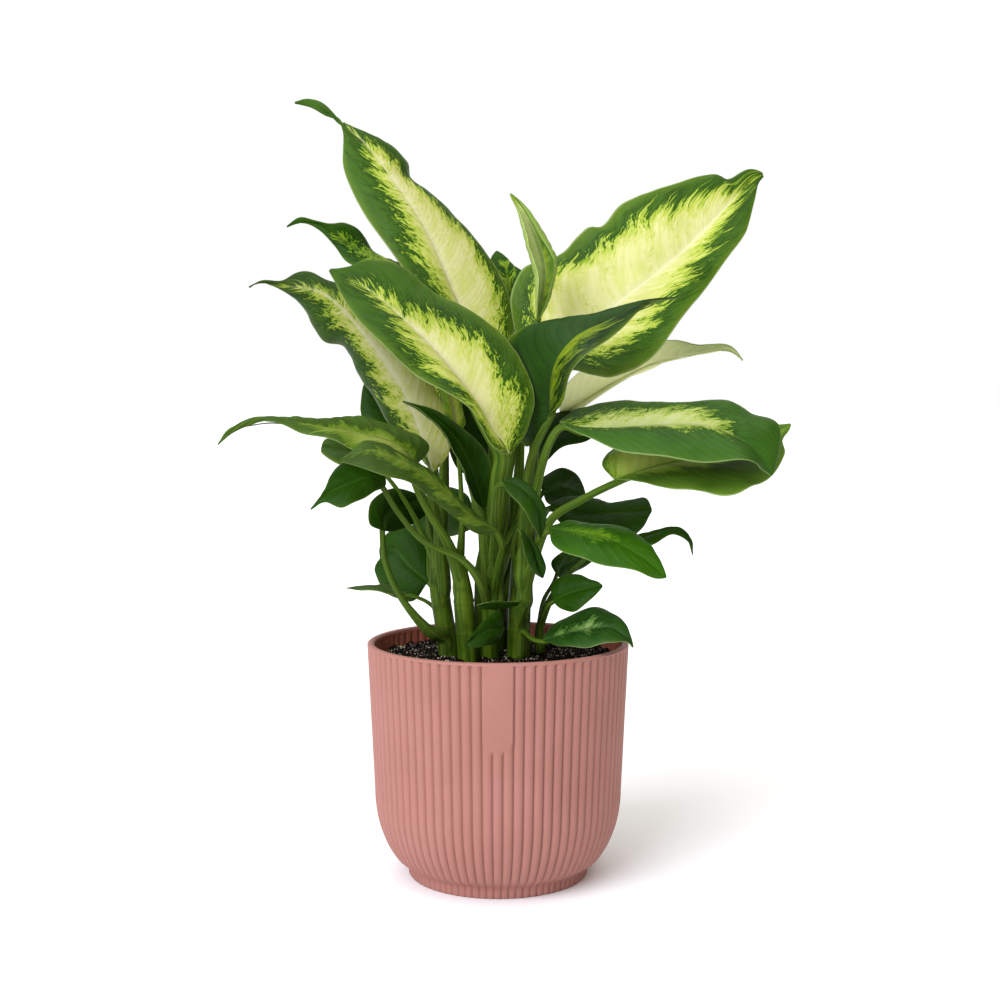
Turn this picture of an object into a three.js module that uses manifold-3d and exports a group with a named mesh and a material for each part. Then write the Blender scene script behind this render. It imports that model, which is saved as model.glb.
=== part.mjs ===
// Potted dieffenbachia: a ribbed cover pot filled with soil, six short canes that stand in
// holes in the soil, and leaves that each grow from a cane on a stalk of their own.
//
// Units are millimetres and +Z is up. The origin is the centre of the pot's flat underside,
// and the side with the pot's smooth strip faces -Y.

import * as THREE from 'three';
import { mergeVertices } from 'three/addons/utils/BufferGeometryUtils.js';
import Module from 'manifold-3d';

const wasm = await Module();
wasm.setup();

// ---------------------------------------------------------------------------
// Driving dimensions
// ---------------------------------------------------------------------------

const CLEARANCE = 0.3; // air between two pieces that touch each other

const POT = {
  height: 126,
  rimRadius: 70.2, // over the ribs, at the top
  shoulderRadius: 66.4, // over the ribs, where the wall starts to curve in
  shoulderHeight: 46,
  bellyDepth: 34, // how far the lower wall would have curved in at bellyBottom
  bellyBottom: -2,
  footRadius: 48.6,
  footHeight: 6.5,
  bellyLevels: [12, 21, 33], // heights of the rings that draw the curve of the lower wall
  wall: 3.8,
  floor: 8,
  cavityLevels: [13, 20, 30], // heights of the rings that draw the curve inside
  cavitySides: 48,
  rimBand: 2.2, // height of the smooth band above the ribs
  rimRound: 0.9,
};

const RIBS = {
  pitch: 80, // ribs that would fill the whole way round
  depth: 0.95,
  smoothStrip: 3, // ribs left out at the front, in favour of a smooth strip
  stripEnd: 80, // height of the strip's lower end
  runOut: 5, // height over which the grooves fade into the strip
  roundOff: 1, // height over which they fade into the rim
};

const SOIL = {
  level: 117,
  sides: 36,
  wallLevels: [13, 30], // heights of the rings that follow the curve of the pot
  rings: [0.985, 0.68, 0.34], // rings of its surface, as parts of its radius
  lumps: [[0.8, 0.31, 0.27], [0.6, -0.19, 0.53], [0.4, 0.83, 0.41]], // height, turn in X and in Y
  edgeDrop: 1, // how far its edge is rounded down
  holeFloor: 62, // height at which the holes for the canes end
  holeRows: 3,
};

const BLADE = {
  thickness: 0.8,
  keel: 1.1, // how far the midrib stands out under the base of the blade
  start: 0.02, // the blade's narrow ends, as parts of the length of its midrib
  end: 0.985,
  waveLag: 2, // how far the waves of the right margin run behind the left's, in radians
};

// Rows along a blade, columns from margin to margin, and rows along its stalk.
const GRID = {
  large: { rows: 12, columns: 4, stalkRows: 5 },
  medium: { rows: 8, columns: 4, stalkRows: 4 },
  small: { rows: 7, columns: 2, stalkRows: 4 },
};

const STALK = {
  sides: 5,
  taperEnd: 0.75, // where it is down to its smaller radius, as a part of its length
  sink: 0.75, // depth of its centre under the base of the blade, as a part of its radius
  tipAt: 0.1, // where its tip ends under the blade, as a part of the midrib's length
  tipDepth: 0.9,
  tipShare: 0.35, // radius of the tip, as a part of the radius before it
};

const CANE = {
  sides: 8,
  rows: 8,
  scarRise: 0.25, // how far the leaf scars stand out
  tipShare: 0.4, // radius of the growing tip, as a part of the cane's radius
};

const COLOUR = {
  pot: 0xc08176,
  soil: 0x1c1613,
  cane: 0x5f8a3c,
  variegated: 0xa9c169,
  half: 0x5d8440,
  banded: 0x6c9347,
  pale_banded: 0x8aa55c,
  bright: 0x4f8a2c,
  splash: 0x3f6b34,
  pale: 0xa7b98a,
  grey: 0x5d7a4c,
  young: 0x86a85c,
  dark: 0x2c4f24,
};

const ROUGHNESS = { pot: 0.65, soil: 1, cane: 0.5, leaf: 0.45 };

// Each cane: the points that its axis runs through above the soil, and its radius at the
// soil and at the top.
const CANES = [
  {
    name: 'cane_left',
    axis: [[-27, 6, 119], [-31, 7, 147], [-35, 10, 177]],
    radius: [5.8, 5.2],
  },
  {
    name: 'cane_front_left',
    axis: [[-16, -13, 119], [-18, -14, 147], [-19, -16, 173]],
    radius: [5.6, 5.2],
  },
  {
    name: 'cane_centre',
    axis: [[-6, -3, 119], [-6, -4, 148], [-5, -6, 190]],
    radius: [7.2, 6.6],
  },
  {
    name: 'cane_right',
    axis: [[11, -2, 119], [12, -2, 154], [15, -2, 198]],
    radius: [6.4, 5.8],
  },
  {
    name: 'cane_small_right',
    axis: [[23, 10, 119], [23, 10, 127], [23, 10, 135]],
    radius: [3.4, 2.8],
  },
  {
    name: 'cane_back',
    axis: [[1, 28, 119], [1, 28, 150], [0, 28, 178]],
    radius: [5.4, 4.4],
  },
];

// Each leaf: the points that its stalk, its midrib and its two margins run through, from the
// cane out to the tip. Left and right are as seen from above with the tip ahead. bow is how
// far each half of the blade swells towards its upper face, and ripple is the height and the
// number of the waves along its margins. stalk is the stalk's radius at the cane and at the
// blade. The stalk starts on the axis of its cane, which is cut out of it.
const LEAVES = [
  {
    name: 'leaf_top_left',
    tone: 'variegated',
    size: 'large',
    petiole: [[1, 28, 158], [3, 20, 211], [1, 18, 250]],
    midrib: [
      [-3, 20, 274], [-20, 26, 304], [-40, 38, 350], [-69, 52, 392],
      [-86, 58, 409], [-100, 60, 419], [-109, 61, 423], [-117, 62, 423],
    ],
    left: [
      [-15, 12, 285], [-38, 14, 309], [-57, 24, 333], [-75, 36, 360], [-86, 46, 383],
      [-87, 54, 401], [-90, 58, 412], [-99, 60, 416], [-107, 62, 421],
    ],
    right: [
      [8, 34, 285], [7, 50, 311], [-8, 62, 340], [-31, 70, 368], [-50, 74, 380], [-53, 76, 392],
      [-65, 72, 403], [-80, 64, 408], [-87, 58, 410], [-97, 60, 421], [-106, 62, 425],
    ],
    stalk: [4, 2.4],
    bow: 3,
    ripple: [1.2, 3],
  },
  {
    name: 'leaf_right_large',
    tone: 'variegated',
    size: 'large',
    petiole: [[14, -2, 170], [18, 2, 212], [22, 8, 250]],
    midrib: [
      [27, 18, 272], [56, 22, 300], [84, 30, 322],
      [110, 42, 344], [140, 58, 375], [152, 62, 383],
    ],
    left: [
      [12, 34, 285], [7, 44, 310], [15, 47, 329], [35, 48, 338], [49, 50, 350], [59, 50, 352],
      [71, 53, 367], [98, 57, 376], [121, 60, 383], [130, 60, 380], [142, 61, 386],
    ],
    right: [
      [41, 2, 271], [61, 0, 267], [84, 6, 280], [108, 20, 310],
      [135, 38, 344], [144, 52, 366], [148, 60, 378],
    ],
    stalk: [4, 2.4],
    bow: 3,
    ripple: [1.6, 4],
  },
  {
    name: 'leaf_front_left_large',
    tone: 'variegated',
    size: 'large',
    petiole: [[-3, -8, 168], [-2, -22, 192], [0, -36, 214]],
    midrib: [
      [6, -43, 227], [-12, -40, 255], [-32, -34, 281],
      [-58, -26, 305], [-75, -20, 317], [-88, -18, 323],
    ],
    left: [
      [-2, -58, 232], [-14, -58, 250], [-39, -52, 267],
      [-60, -44, 284], [-76, -32, 303], [-86, -20, 319],
    ],
    right: [
      [15, -32, 240], [18, -26, 261], [5, -18, 287], [-18, -13, 303],
      [-31, -12, 310], [-50, -10, 325], [-66, -12, 328], [-78, -16, 324],
    ],
    stalk: [4.8, 4.2],
    bow: 3,
    ripple: [1.2, 3],
  },
  {
    name: 'leaf_left_large',
    tone: 'variegated',
    size: 'large',
    petiole: [[-30, 8, 158], [-32, 2, 185], [-34, -2, 202]],
    midrib: [
      [-34, -6, 216], [-49, -6, 258], [-70, -4, 289], [-92, 2, 311],
      [-115, 8, 316], [-127, 10, 318], [-135, 10, 315],
    ],
    left: [
      [-44, 2, 227], [-61, 8, 245], [-71, 11, 263], [-83, 14, 282], [-94, 15, 287],
      [-104, 16, 303], [-112, 14, 311], [-121, 10, 317], [-130, 10, 317],
    ],
    right: [
      [-25, -8, 231], [-32, -2, 259], [-52, 6, 287], [-74, 10, 313],
      [-89, 12, 319], [-104, 12, 324], [-115, 9, 319], [-127, 10, 319],
    ],
    stalk: [3.8, 2.2],
    bow: 3,
    ripple: [1.4, 4],
  },
  {
    name: 'leaf_front_right_folded',
    tone: 'half',
    size: 'large',
    petiole: [[13, -14, 166], [14, -18, 200], [18, -20, 227]],
    midrib: [
      [26, -26, 246], [28, -32, 271], [39, -34, 287],
      [57, -34, 295], [75, -32, 303], [93, -28, 308],
    ],
    left: [[14, -14, 231], [4, -4, 263], [5, -6, 286], [22, -12, 295], [45, -18, 298], [73, -26, 305]],
    right: [[33, -36, 254], [37, -44, 270], [51, -48, 282], [64, -44, 293], [78, -34, 304]],
    stalk: [3.8, 2.2],
    bow: 3,
    ripple: [0.8, 3],
  },
  {
    name: 'leaf_young_rolled',
    tone: 'young',
    size: 'medium',
    petiole: [[-2, -4, 176], [9, 4, 234], [17, 4, 276]],
    midrib: [[21, 4, 297], [25, 8, 322], [21, 8, 340], [14, 6, 355], [6, 4, 365]],
    left: [[21, -2, 308], [21, -4, 321], [17, -2, 336], [11, 3, 355]],
    right: [[25, -4, 304], [29, -8, 325], [27, -4, 334], [21, 1, 344], [12, 4, 359]],
    stalk: [2.6, 1.6],
    bow: -4,
    ripple: [0.3, 2],
  },
  {
    name: 'leaf_behind_centre',
    tone: 'dark',
    size: 'medium',
    petiole: [[1, 34, 166], [6, 48, 232], [7, 58, 278]],
    midrib: [[7, 62, 292], [6, 74, 319], [4, 84, 336], [-1, 90, 343]],
    left: [[-2, 70, 301], [-6, 80, 325], [-5, 88, 337]],
    right: [[18, 66, 301], [17, 76, 325], [8, 84, 334]],
    stalk: [3.2, 1.9],
    bow: 3,
    ripple: [1, 3],
  },
  {
    name: 'leaf_upper_left_back',
    tone: 'dark',
    size: 'medium',
    petiole: [[-32, 14, 162], [-30, 40, 233], [-35, 62, 301]],
    midrib: [
      [-42, 68, 321], [-65, 74, 335], [-86, 78, 345],
      [-102, 80, 356], [-114, 80, 358], [-124, 80, 355],
    ],
    left: [[-56, 64, 317], [-83, 68, 332], [-95, 76, 344], [-105, 79, 354], [-115, 80, 358]],
    right: [
      [-46, 84, 330], [-68, 88, 337], [-78, 88, 350],
      [-89, 84, 358], [-101, 81, 358], [-115, 80, 361],
    ],
    stalk: [2.8, 1.6],
    bow: 2,
    ripple: [1.4, 3],
  },
  {
    name: 'leaf_right_underside',
    tone: 'pale',
    size: 'medium',
    petiole: [[2, 24, 167], [18, 22, 200], [29, 24, 233]],
    midrib: [
      [34, 26, 246], [62, 28, 264], [87, 32, 276],
      [112, 34, 281], [128, 36, 283], [137, 36, 276],
    ],
    left: [[50, 38, 255], [69, 42, 266], [91, 44, 275], [113, 42, 281], [128, 38, 282]],
    right: [[34, 20, 258], [44, 16, 270], [63, 15, 277], [92, 18, 287], [111, 26, 285], [128, 34, 285]],
    stalk: [3.4, 2],
    bow: 3,
    ripple: [0.8, 3],
  },
  {
    name: 'leaf_right_upper_flat',
    tone: 'banded',
    size: 'large',
    petiole: [[15, -8, 173], [19, -20, 203], [25, -26, 229]],
    midrib: [
      [31, -28, 244], [47, -32, 240], [78, -34, 242], [106, -34, 242],
      [123, -36, 235], [133, -38, 226], [139, -40, 216],
    ],
    left: [
      [42, -16, 251], [59, -8, 254], [86, -5, 254], [120, -8, 254],
      [133, -13, 248], [146, -20, 243], [145, -28, 229],
    ],
    right: [[41, -44, 238], [63, -56, 230], [95, -60, 225], [123, -56, 225], [133, -48, 220]],
    stalk: [3.5, 2.1],
    bow: 4,
    ripple: [0.9, 3],
  },
  {
    name: 'leaf_right_lower_flat',
    tone: 'banded',
    size: 'large',
    petiole: [[14, -10, 155], [26, -18, 190], [43, -22, 203]],
    midrib: [
      [60, -22, 214], [87, -20, 222], [111, -16, 225],
      [133, -10, 226], [147, -6, 234], [156, -4, 243],
    ],
    left: [[55, -8, 222], [66, 6, 231], [93, 12, 236], [120, 12, 238], [143, 6, 242], [152, 0, 242]],
    right: [
      [73, -34, 213], [97, -44, 209], [120, -44, 208], [140, -26, 215],
      [150, -16, 226], [150, -10, 234], [154, -6, 239],
    ],
    stalk: [3, 2],
    bow: 3,
    ripple: [1, 4],
  },
  {
    name: 'leaf_right_bright',
    tone: 'bright',
    size: 'medium',
    petiole: [[15, -14, 158], [19, -26, 178], [23, -32, 186]],
    midrib: [[26, -34, 190], [42, -42, 188], [57, -46, 185], [71, -50, 177], [85, -52, 166]],
    left: [[36, -26, 192], [55, -26, 191], [73, -34, 186], [81, -46, 176]],
    right: [[29, -44, 181], [46, -56, 175], [69, -58, 170], [79, -54, 166]],
    stalk: [2.8, 1.7],
    bow: 2,
    ripple: [0.8, 3],
  },
  {
    name: 'leaf_centre_narrow',
    tone: 'dark',
    size: 'small',
    petiole: [[-2, -16, 171], [-2, -36, 194], [-1, -46, 210]],
    midrib: [[2, -50, 215], [12, -56, 211], [19, -58, 202], [21, -58, 186]],
    left: [[10, -50, 216], [21, -54, 207], [24, -56, 196]],
    right: [[5, -62, 210], [12, -66, 202], [17, -64, 194]],
    stalk: [2.4, 1.5],
    bow: 2,
    ripple: [0.4, 2],
  },
  {
    name: 'leaf_right_back_round',
    tone: 'dark',
    size: 'small',
    petiole: [[3, 26, 155], [15, 34, 183], [21, 38, 196]],
    midrib: [[25, 40, 203], [35, 50, 206], [44, 60, 203], [52, 66, 197]],
    left: [[24, 46, 210], [36, 58, 216], [47, 66, 210]],
    right: [[28, 42, 197], [36, 50, 194], [46, 60, 193]],
    stalk: [2.6, 1.6],
    bow: 2,
    ripple: [0.5, 2],
  },
  {
    name: 'leaf_right_back_dark',
    tone: 'dark',
    size: 'medium',
    petiole: [[14, 8, 147], [20, 14, 176], [24, 18, 192]],
    midrib: [[28, 20, 197], [45, 26, 192], [65, 32, 192], [87, 40, 193]],
    left: [[36, 34, 201], [55, 42, 200], [64, 44, 196], [82, 46, 200]],
    right: [[37, 16, 186], [59, 20, 182], [77, 30, 181]],
    stalk: [2.6, 1.6],
    bow: 3,
    ripple: [0.8, 3],
  },
  {
    name: 'leaf_right_curled_tip',
    tone: 'dark',
    size: 'small',
    petiole: [[23, 8, 133], [33, 2, 156], [49, -2, 172]],
    midrib: [[58, -2, 176], [76, 2, 180], [90, 4, 184], [100, 4, 184], [105, 2, 171]],
    left: [[66, 6, 180], [82, 8, 182], [94, 7, 186], [104, 4, 180]],
    right: [[65, -8, 174], [81, -6, 178], [93, 0, 183], [102, 2, 179]],
    stalk: [2, 1.2],
    bow: 2,
    ripple: [0.4, 2],
  },
  {
    name: 'leaf_small_curled',
    tone: 'dark',
    size: 'small',
    petiole: [[23, 11, 134], [25, 18, 145], [30, 18, 154]],
    midrib: [[33, 18, 158], [35, 20, 164], [42, 22, 167], [53, 24, 167]],
    left: [[29, 14, 166], [34, 14, 172], [46, 18, 174]],
    right: [[38, 26, 157], [44, 30, 160], [50, 28, 164]],
    stalk: [1.6, 1.1],
    bow: 2,
    ripple: [0.4, 2],
  },
  {
    name: 'leaf_small_pointed',
    tone: 'bright',
    size: 'small',
    petiole: [[23, 4, 132], [25, -4, 141], [27, -8, 146]],
    midrib: [[29, -10, 149], [37, -14, 153], [46, -18, 156], [55, -22, 158]],
    left: [[29, -6, 157], [38, -8, 163], [49, -16, 161]],
    right: [[34, -16, 145], [41, -22, 145], [49, -24, 152]],
    stalk: [1.7, 1.2],
    bow: 2,
    ripple: [0.4, 2],
  },
  {
    name: 'leaf_over_rim',
    tone: 'splash',
    size: 'medium',
    petiole: [[13, -8, 131], [17, -16, 130], [20, -20, 129]],
    midrib: [[23, -24, 130], [37, -30, 135], [55, -38, 139], [63, -42, 136], [69, -44, 129]],
    left: [[31, -14, 138], [52, -22, 147], [63, -32, 143], [67, -40, 137]],
    right: [[32, -36, 129], [44, -46, 130], [58, -50, 133], [65, -47, 133]],
    stalk: [2, 1.4],
    bow: 2,
    ripple: [0.6, 3],
  },
  {
    name: 'leaf_front_low_dark',
    tone: 'dark',
    size: 'small',
    petiole: [[-5, -4, 130], [-2, -14, 133], [2, -22, 136]],
    midrib: [[3, -26, 136], [-4, -34, 137], [-10, -40, 135], [-17, -44, 131]],
    left: [[0, -34, 131], [-7, -44, 130], [-13, -46, 130]],
    right: [[1, -22, 145], [-6, -28, 142], [-13, -40, 136]],
    stalk: [1.8, 1.3],
    bow: 2,
    ripple: [0.4, 2],
  },
  {
    name: 'leaf_front_low_thin',
    tone: 'dark',
    size: 'small',
    petiole: [[12, -7, 134], [14, -18, 144], [15, -24, 148]],
    midrib: [[12, -28, 150], [4, -34, 150], [-4, -40, 151], [-11, -44, 151]],
    left: [[6, -26, 148], [-3, -34, 148], [-8, -42, 149]],
    right: [[6, -36, 152], [-2, -44, 153], [-7, -46, 153]],
    stalk: [1.3, 0.9],
    bow: 1,
    ripple: [0.3, 2],
  },
  {
    name: 'leaf_left_long',
    tone: 'pale_banded',
    size: 'large',
    petiole: [[-20, -13, 160], [-26, -20, 180], [-35, -26, 196], [-41, -29, 208]],
    midrib: [
      [-43, -31, 220], [-50, -34, 232], [-70, -38, 238], [-92, -42, 241],
      [-120, -46, 245], [-134, -48, 239], [-141, -48, 232],
    ],
    left: [
      [-47, -46, 222], [-64, -54, 229], [-84, -54, 235],
      [-106, -50, 242], [-120, -48, 244], [-132, -49, 239],
    ],
    right: [
      [-36, -20, 231], [-51, -18, 241], [-68, -22, 245], [-80, -26, 246],
      [-91, -32, 244], [-106, -38, 244], [-121, -44, 245], [-134, -47, 241],
    ],
    stalk: [3.2, 1.9],
    bow: 3,
    ripple: [1.2, 4],
  },
  {
    name: 'leaf_left_crossing',
    tone: 'pale_banded',
    size: 'medium',
    petiole: [[-3, -14, 155], [1, -28, 173], [2, -38, 181]],
    midrib: [
      [1, -44, 189], [-14, -54, 198], [-31, -62, 215],
      [-48, -66, 226], [-63, -68, 231], [-78, -68, 225],
    ],
    left: [[-10, -50, 188], [-25, -58, 200], [-42, -70, 214], [-55, -76, 219], [-72, -72, 224]],
    right: [[-9, -46, 196], [-26, -54, 211], [-44, -58, 226], [-63, -62, 235], [-72, -66, 230]],
    stalk: [2.4, 1.6],
    bow: 2,
    ripple: [0.8, 3],
  },
  {
    name: 'leaf_left_dark',
    tone: 'dark',
    size: 'small',
    petiole: [[-5, -5, 140], [-8, -20, 157], [-18, -27, 172], [-38, -29, 182], [-51, -31, 197]],
    midrib: [[-57, -34, 211], [-65, -40, 216], [-77, -46, 212], [-87, -50, 207], [-94, -52, 200]],
    left: [[-64, -48, 208], [-76, -56, 202], [-86, -54, 204]],
    right: [[-60, -28, 221], [-73, -30, 225], [-83, -38, 220], [-87, -48, 209]],
    stalk: [2.2, 1.5],
    bow: 2,
    ripple: [0.8, 3],
  },
  {
    name: 'leaf_left_back_grey',
    tone: 'grey',
    size: 'small',
    petiole: [[-32, 14, 160], [-48, 18, 195], [-65, 20, 218]],
    midrib: [[-72, 20, 224], [-81, 18, 226], [-89, 16, 228], [-96, 14, 230]],
    left: [[-77, 8, 220], [-87, 6, 221], [-95, 10, 226]],
    right: [[-77, 28, 231], [-86, 26, 234], [-94, 20, 234]],
    stalk: [2, 1.2],
    bow: 2,
    ripple: [0.4, 2],
  },
  {
    name: 'leaf_left_hanging',
    tone: 'dark',
    size: 'small',
    petiole: [[-28, 2, 126], [-38, -6, 133], [-52, -8, 151], [-60, -6, 169]],
    midrib: [[-61, 0, 185], [-61, 8, 193], [-53, 20, 198], [-41, 30, 201]],
    left: [[-69, 0, 189], [-68, 8, 201], [-56, 20, 207]],
    right: [[-56, 10, 184], [-47, 22, 187], [-39, 30, 193]],
    stalk: [2.4, 1.6],
    bow: 2,
    ripple: [0.4, 2],
  },
  {
    name: 'leaf_left_dark_round',
    tone: 'dark',
    size: 'small',
    petiole: [[-31, 14, 142], [-33, 20, 146], [-35, 24, 150]],
    midrib: [[-39, 28, 154], [-50, 34, 163], [-58, 40, 171], [-67, 44, 165]],
    left: [[-48, 30, 143], [-63, 38, 147], [-70, 42, 158]],
    right: [[-38, 36, 174], [-53, 44, 185], [-66, 46, 176]],
    stalk: [2.4, 1.6],
    bow: 3,
    ripple: [0.6, 2],
  },
  {
    name: 'leaf_left_thin',
    tone: 'grey',
    size: 'small',
    petiole: [[-29, 12, 132], [-36, 12, 143], [-45, 12, 148]],
    midrib: [[-50, 12, 150], [-62, 12, 152], [-72, 11, 153], [-83, 10, 153]],
    left: [[-58, 6, 150], [-69, 7, 152], [-77, 9, 152]],
    right: [[-59, 18, 154], [-70, 16, 153], [-78, 13, 153]],
    stalk: [1.6, 1],
    bow: 1,
    ripple: [0.3, 2],
  },
  {
    name: 'leaf_centre_folded',
    tone: 'dark',
    size: 'medium',
    petiole: [[-4, -8, 157], [-6, -16, 174], [-7, -22, 187]],
    midrib: [[-7, -26, 198], [-13, -30, 219], [-22, -34, 237], [-34, -38, 248], [-49, -40, 255]],
    left: [[-12, -34, 204], [-19, -42, 222], [-27, -44, 239], [-39, -42, 250]],
    right: [[-2, -24, 209], [-6, -26, 228], [-17, -30, 240], [-32, -36, 250]],
    stalk: [4.6, 3.6],
    bow: -2,
    ripple: [0.4, 2],
  },
  {
    name: 'leaf_left_back_dark',
    tone: 'dark',
    size: 'small',
    petiole: [[-31, 18, 154], [-41, 34, 199], [-50, 40, 224]],
    midrib: [[-55, 42, 233], [-62, 46, 244], [-68, 52, 256], [-73, 58, 269]],
    left: [[-66, 40, 233], [-77, 46, 246], [-77, 54, 262]],
    right: [[-49, 48, 244], [-55, 54, 258], [-63, 60, 269]],
    stalk: [2.2, 1.4],
    bow: 2,
    ripple: [0.5, 2],
  },
  {
    name: 'leaf_centre_pale_strip',
    tone: 'pale',
    size: 'small',
    petiole: [[-21, -12, 160], [-19, -9, 192], [-21, -10, 229]],
    midrib: [[-22, -12, 239], [-24, -10, 249], [-27, -6, 259], [-33, 0, 270]],
    left: [[-27, -16, 244], [-29, -12, 254], [-32, -4, 264]],
    right: [[-17, -8, 242], [-19, -4, 251], [-24, 0, 261]],
    stalk: [1.8, 1.2],
    bow: 2,
    ripple: [0.3, 2],
  },
  {
    name: 'leaf_centre_back_dark',
    tone: 'dark',
    size: 'small',
    petiole: [[-5, -3, 164], [-10, 8, 188], [-14, 14, 205]],
    midrib: [[-15, 16, 213], [-18, 20, 228], [-16, 24, 244], [-12, 28, 259]],
    left: [[-23, 12, 219], [-27, 14, 233], [-24, 20, 250]],
    right: [[-7, 22, 218], [-5, 26, 233], [-7, 28, 250]],
    stalk: [2.4, 1.6],
    bow: 2,
    ripple: [0.4, 2],
  },
  {
    name: 'leaf_centre_dark',
    tone: 'dark',
    size: 'small',
    petiole: [[14, 6, 147], [15, 18, 179], [18, 22, 206]],
    midrib: [[20, 22, 218], [26, 18, 232], [39, 14, 239], [55, 8, 242]],
    left: [[21, 28, 233], [26, 28, 245], [42, 20, 249]],
    right: [[26, 12, 222], [36, 6, 230], [49, 2, 234]],
    stalk: [2.4, 1.6],
    bow: 2,
    ripple: [0.4, 2],
  },
  {
    name: 'leaf_right_hanging_small',
    tone: 'dark',
    size: 'small',
    petiole: [[10, -4, 154], [8, -20, 177], [10, -28, 187]],
    midrib: [[12, -31, 189], [16, -35, 181], [19, -37, 172], [23, -37, 164]],
    left: [[18, -33, 183], [24, -36, 172]],
    right: [[12, -41, 182], [17, -41, 169]],
    stalk: [1.8, 1.2],
    bow: 2,
    ripple: [0.3, 2],
  },
  {
    name: 'leaf_back_right_low',
    tone: 'banded',
    size: 'large',
    petiole: [[3, 34, 150], [11, 54, 187], [25, 62, 223]],
    midrib: [[37, 66, 241], [66, 78, 237], [102, 92, 234], [140, 104, 231], [154, 108, 227]],
    left: [[54, 86, 248], [91, 100, 249], [135, 112, 246]],
    right: [[53, 56, 235], [83, 70, 219], [126, 88, 212]],
    stalk: [3.2, 1.9],
    bow: 3,
    ripple: [1, 3],
  },
  {
    name: 'leaf_back_right_high',
    tone: 'variegated',
    size: 'large',
    petiole: [[3, 31, 155], [11, 46, 204], [14, 62, 255]],
    midrib: [[19, 70, 284], [42, 88, 314], [73, 106, 339], [102, 120, 361]],
    left: [[17, 78, 313], [40, 100, 337], [69, 116, 352]],
    right: [[48, 78, 287], [85, 98, 309], [107, 114, 340]],
    stalk: [3.8, 2.2],
    bow: 3,
    ripple: [1.4, 3],
  },
  {
    name: 'leaf_back_left',
    tone: 'variegated',
    size: 'large',
    petiole: [[-33, 22, 162], [-38, 44, 199], [-38, 58, 226]],
    midrib: [[-39, 64, 244], [-51, 78, 270], [-63, 92, 296], [-68, 104, 315]],
    left: [[-57, 68, 249], [-69, 84, 273], [-75, 98, 300]],
    right: [[-25, 72, 258], [-34, 88, 284], [-50, 102, 309]],
    stalk: [3.5, 2.1],
    bow: 3,
    ripple: [1.2, 3],
  },
  {
    name: 'leaf_back_left_low',
    tone: 'dark',
    size: 'medium',
    petiole: [[-1, 32, 141], [-5, 48, 157], [-8, 60, 172]],
    midrib: [[-12, 66, 182], [-23, 80, 192], [-36, 96, 189], [-49, 108, 176], [-56, 113, 164]],
    left: [[-20, 66, 178], [-34, 84, 173], [-48, 102, 166]],
    right: [[-19, 78, 200], [-34, 98, 202], [-49, 111, 189]],
    stalk: [2.4, 1.6],
    bow: 3,
    ripple: [0.8, 3],
  },
  {
    name: 'leaf_back_right_dark',
    tone: 'dark',
    size: 'medium',
    petiole: [[2, 32, 137], [13, 50, 157], [27, 64, 189]],
    midrib: [[33, 68, 194], [48, 92, 191], [59, 114, 187], [65, 130, 180]],
    left: [[28, 84, 196], [38, 108, 192], [51, 124, 187]],
    right: [[48, 72, 185], [64, 94, 183], [70, 116, 181]],
    stalk: [2.4, 1.6],
    bow: 3,
    ripple: [0.8, 3],
  },
  {
    name: 'leaf_back_centre',
    tone: 'variegated',
    size: 'medium',
    petiole: [[-1, 32, 152], [-4, 56, 198], [-5, 80, 255]],
    midrib: [[-8, 94, 291], [-17, 114, 316], [-27, 132, 334], [-33, 144, 340]],
    left: [[-23, 98, 297], [-35, 118, 322], [-38, 136, 334]],
    right: [[4, 104, 309], [-4, 124, 330], [-19, 138, 339]],
    stalk: [3.5, 2.1],
    bow: 3,
    ripple: [1.2, 3],
  },
];

// ---------------------------------------------------------------------------
// Solids
// ---------------------------------------------------------------------------

/** A smooth curve through the given points. */
function curveThrough(points) {
  const vectors = points.map((point) => new THREE.Vector3(...point));
  return new THREE.CatmullRomCurve3(vectors, false, 'catmullrom');
}

/** A geometry from a flat list of positions and a list of triangles' corners. */
function geometryFrom(positions, triangles) {
  const geometry = new THREE.BufferGeometry();
  geometry.setAttribute('position', new THREE.Float32BufferAttribute(positions, 3));
  geometry.setIndex(triangles);
  return geometry;
}

/** A closed solid through rings of points, each ring anticlockwise seen from the last ring. */
function loft(rings) {
  const count = rings[0].length;
  const positions = rings.flat().flatMap((point) => point.toArray());
  const triangles = [];
  for (let row = 0; row + 1 < rings.length; row += 1) {
    for (let column = 0; column < count; column += 1) {
      const next = (column + 1) % count;
      const [a, b] = [row * count + column, row * count + next];
      const [c, d] = [a + count, b + count];
      triangles.push(a, b, d, a, d, c);
    }
  }
  for (const [ring, turned] of [[0, true], [rings.length - 1, false]]) {
    const centre = new THREE.Vector3();
    rings[ring].forEach((point) => centre.addScaledVector(point, 1 / count));
    const middle = positions.length / 3;
    positions.push(...centre.toArray());
    for (let column = 0; column < count; column += 1) {
      const [a, b] = [ring * count + column, ring * count + ((column + 1) % count)];
      triangles.push(middle, turned ? b : a, turned ? a : b);
    }
  }
  return geometryFrom(positions, triangles);
}

/** A tube along a curve. radiusAt gives its radius from 0, the start, to 1, the end. */
function tube(curve, radiusAt, rows, sides) {
  const frames = curve.computeFrenetFrames(rows, false);
  const rings = [];
  for (let row = 0; row <= rows; row += 1) {
    const centre = curve.getPointAt(row / rows);
    const radius = radiusAt(row / rows);
    const ring = [];
    for (let side = 0; side < sides; side += 1) {
      const turn = (2 * Math.PI * side) / sides;
      ring.push(centre.clone()
        .addScaledVector(frames.normals[row], radius * Math.cos(turn))
        .addScaledVector(frames.binormals[row], radius * Math.sin(turn)));
    }
    rings.push(ring);
  }
  return loft(rings);
}

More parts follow.
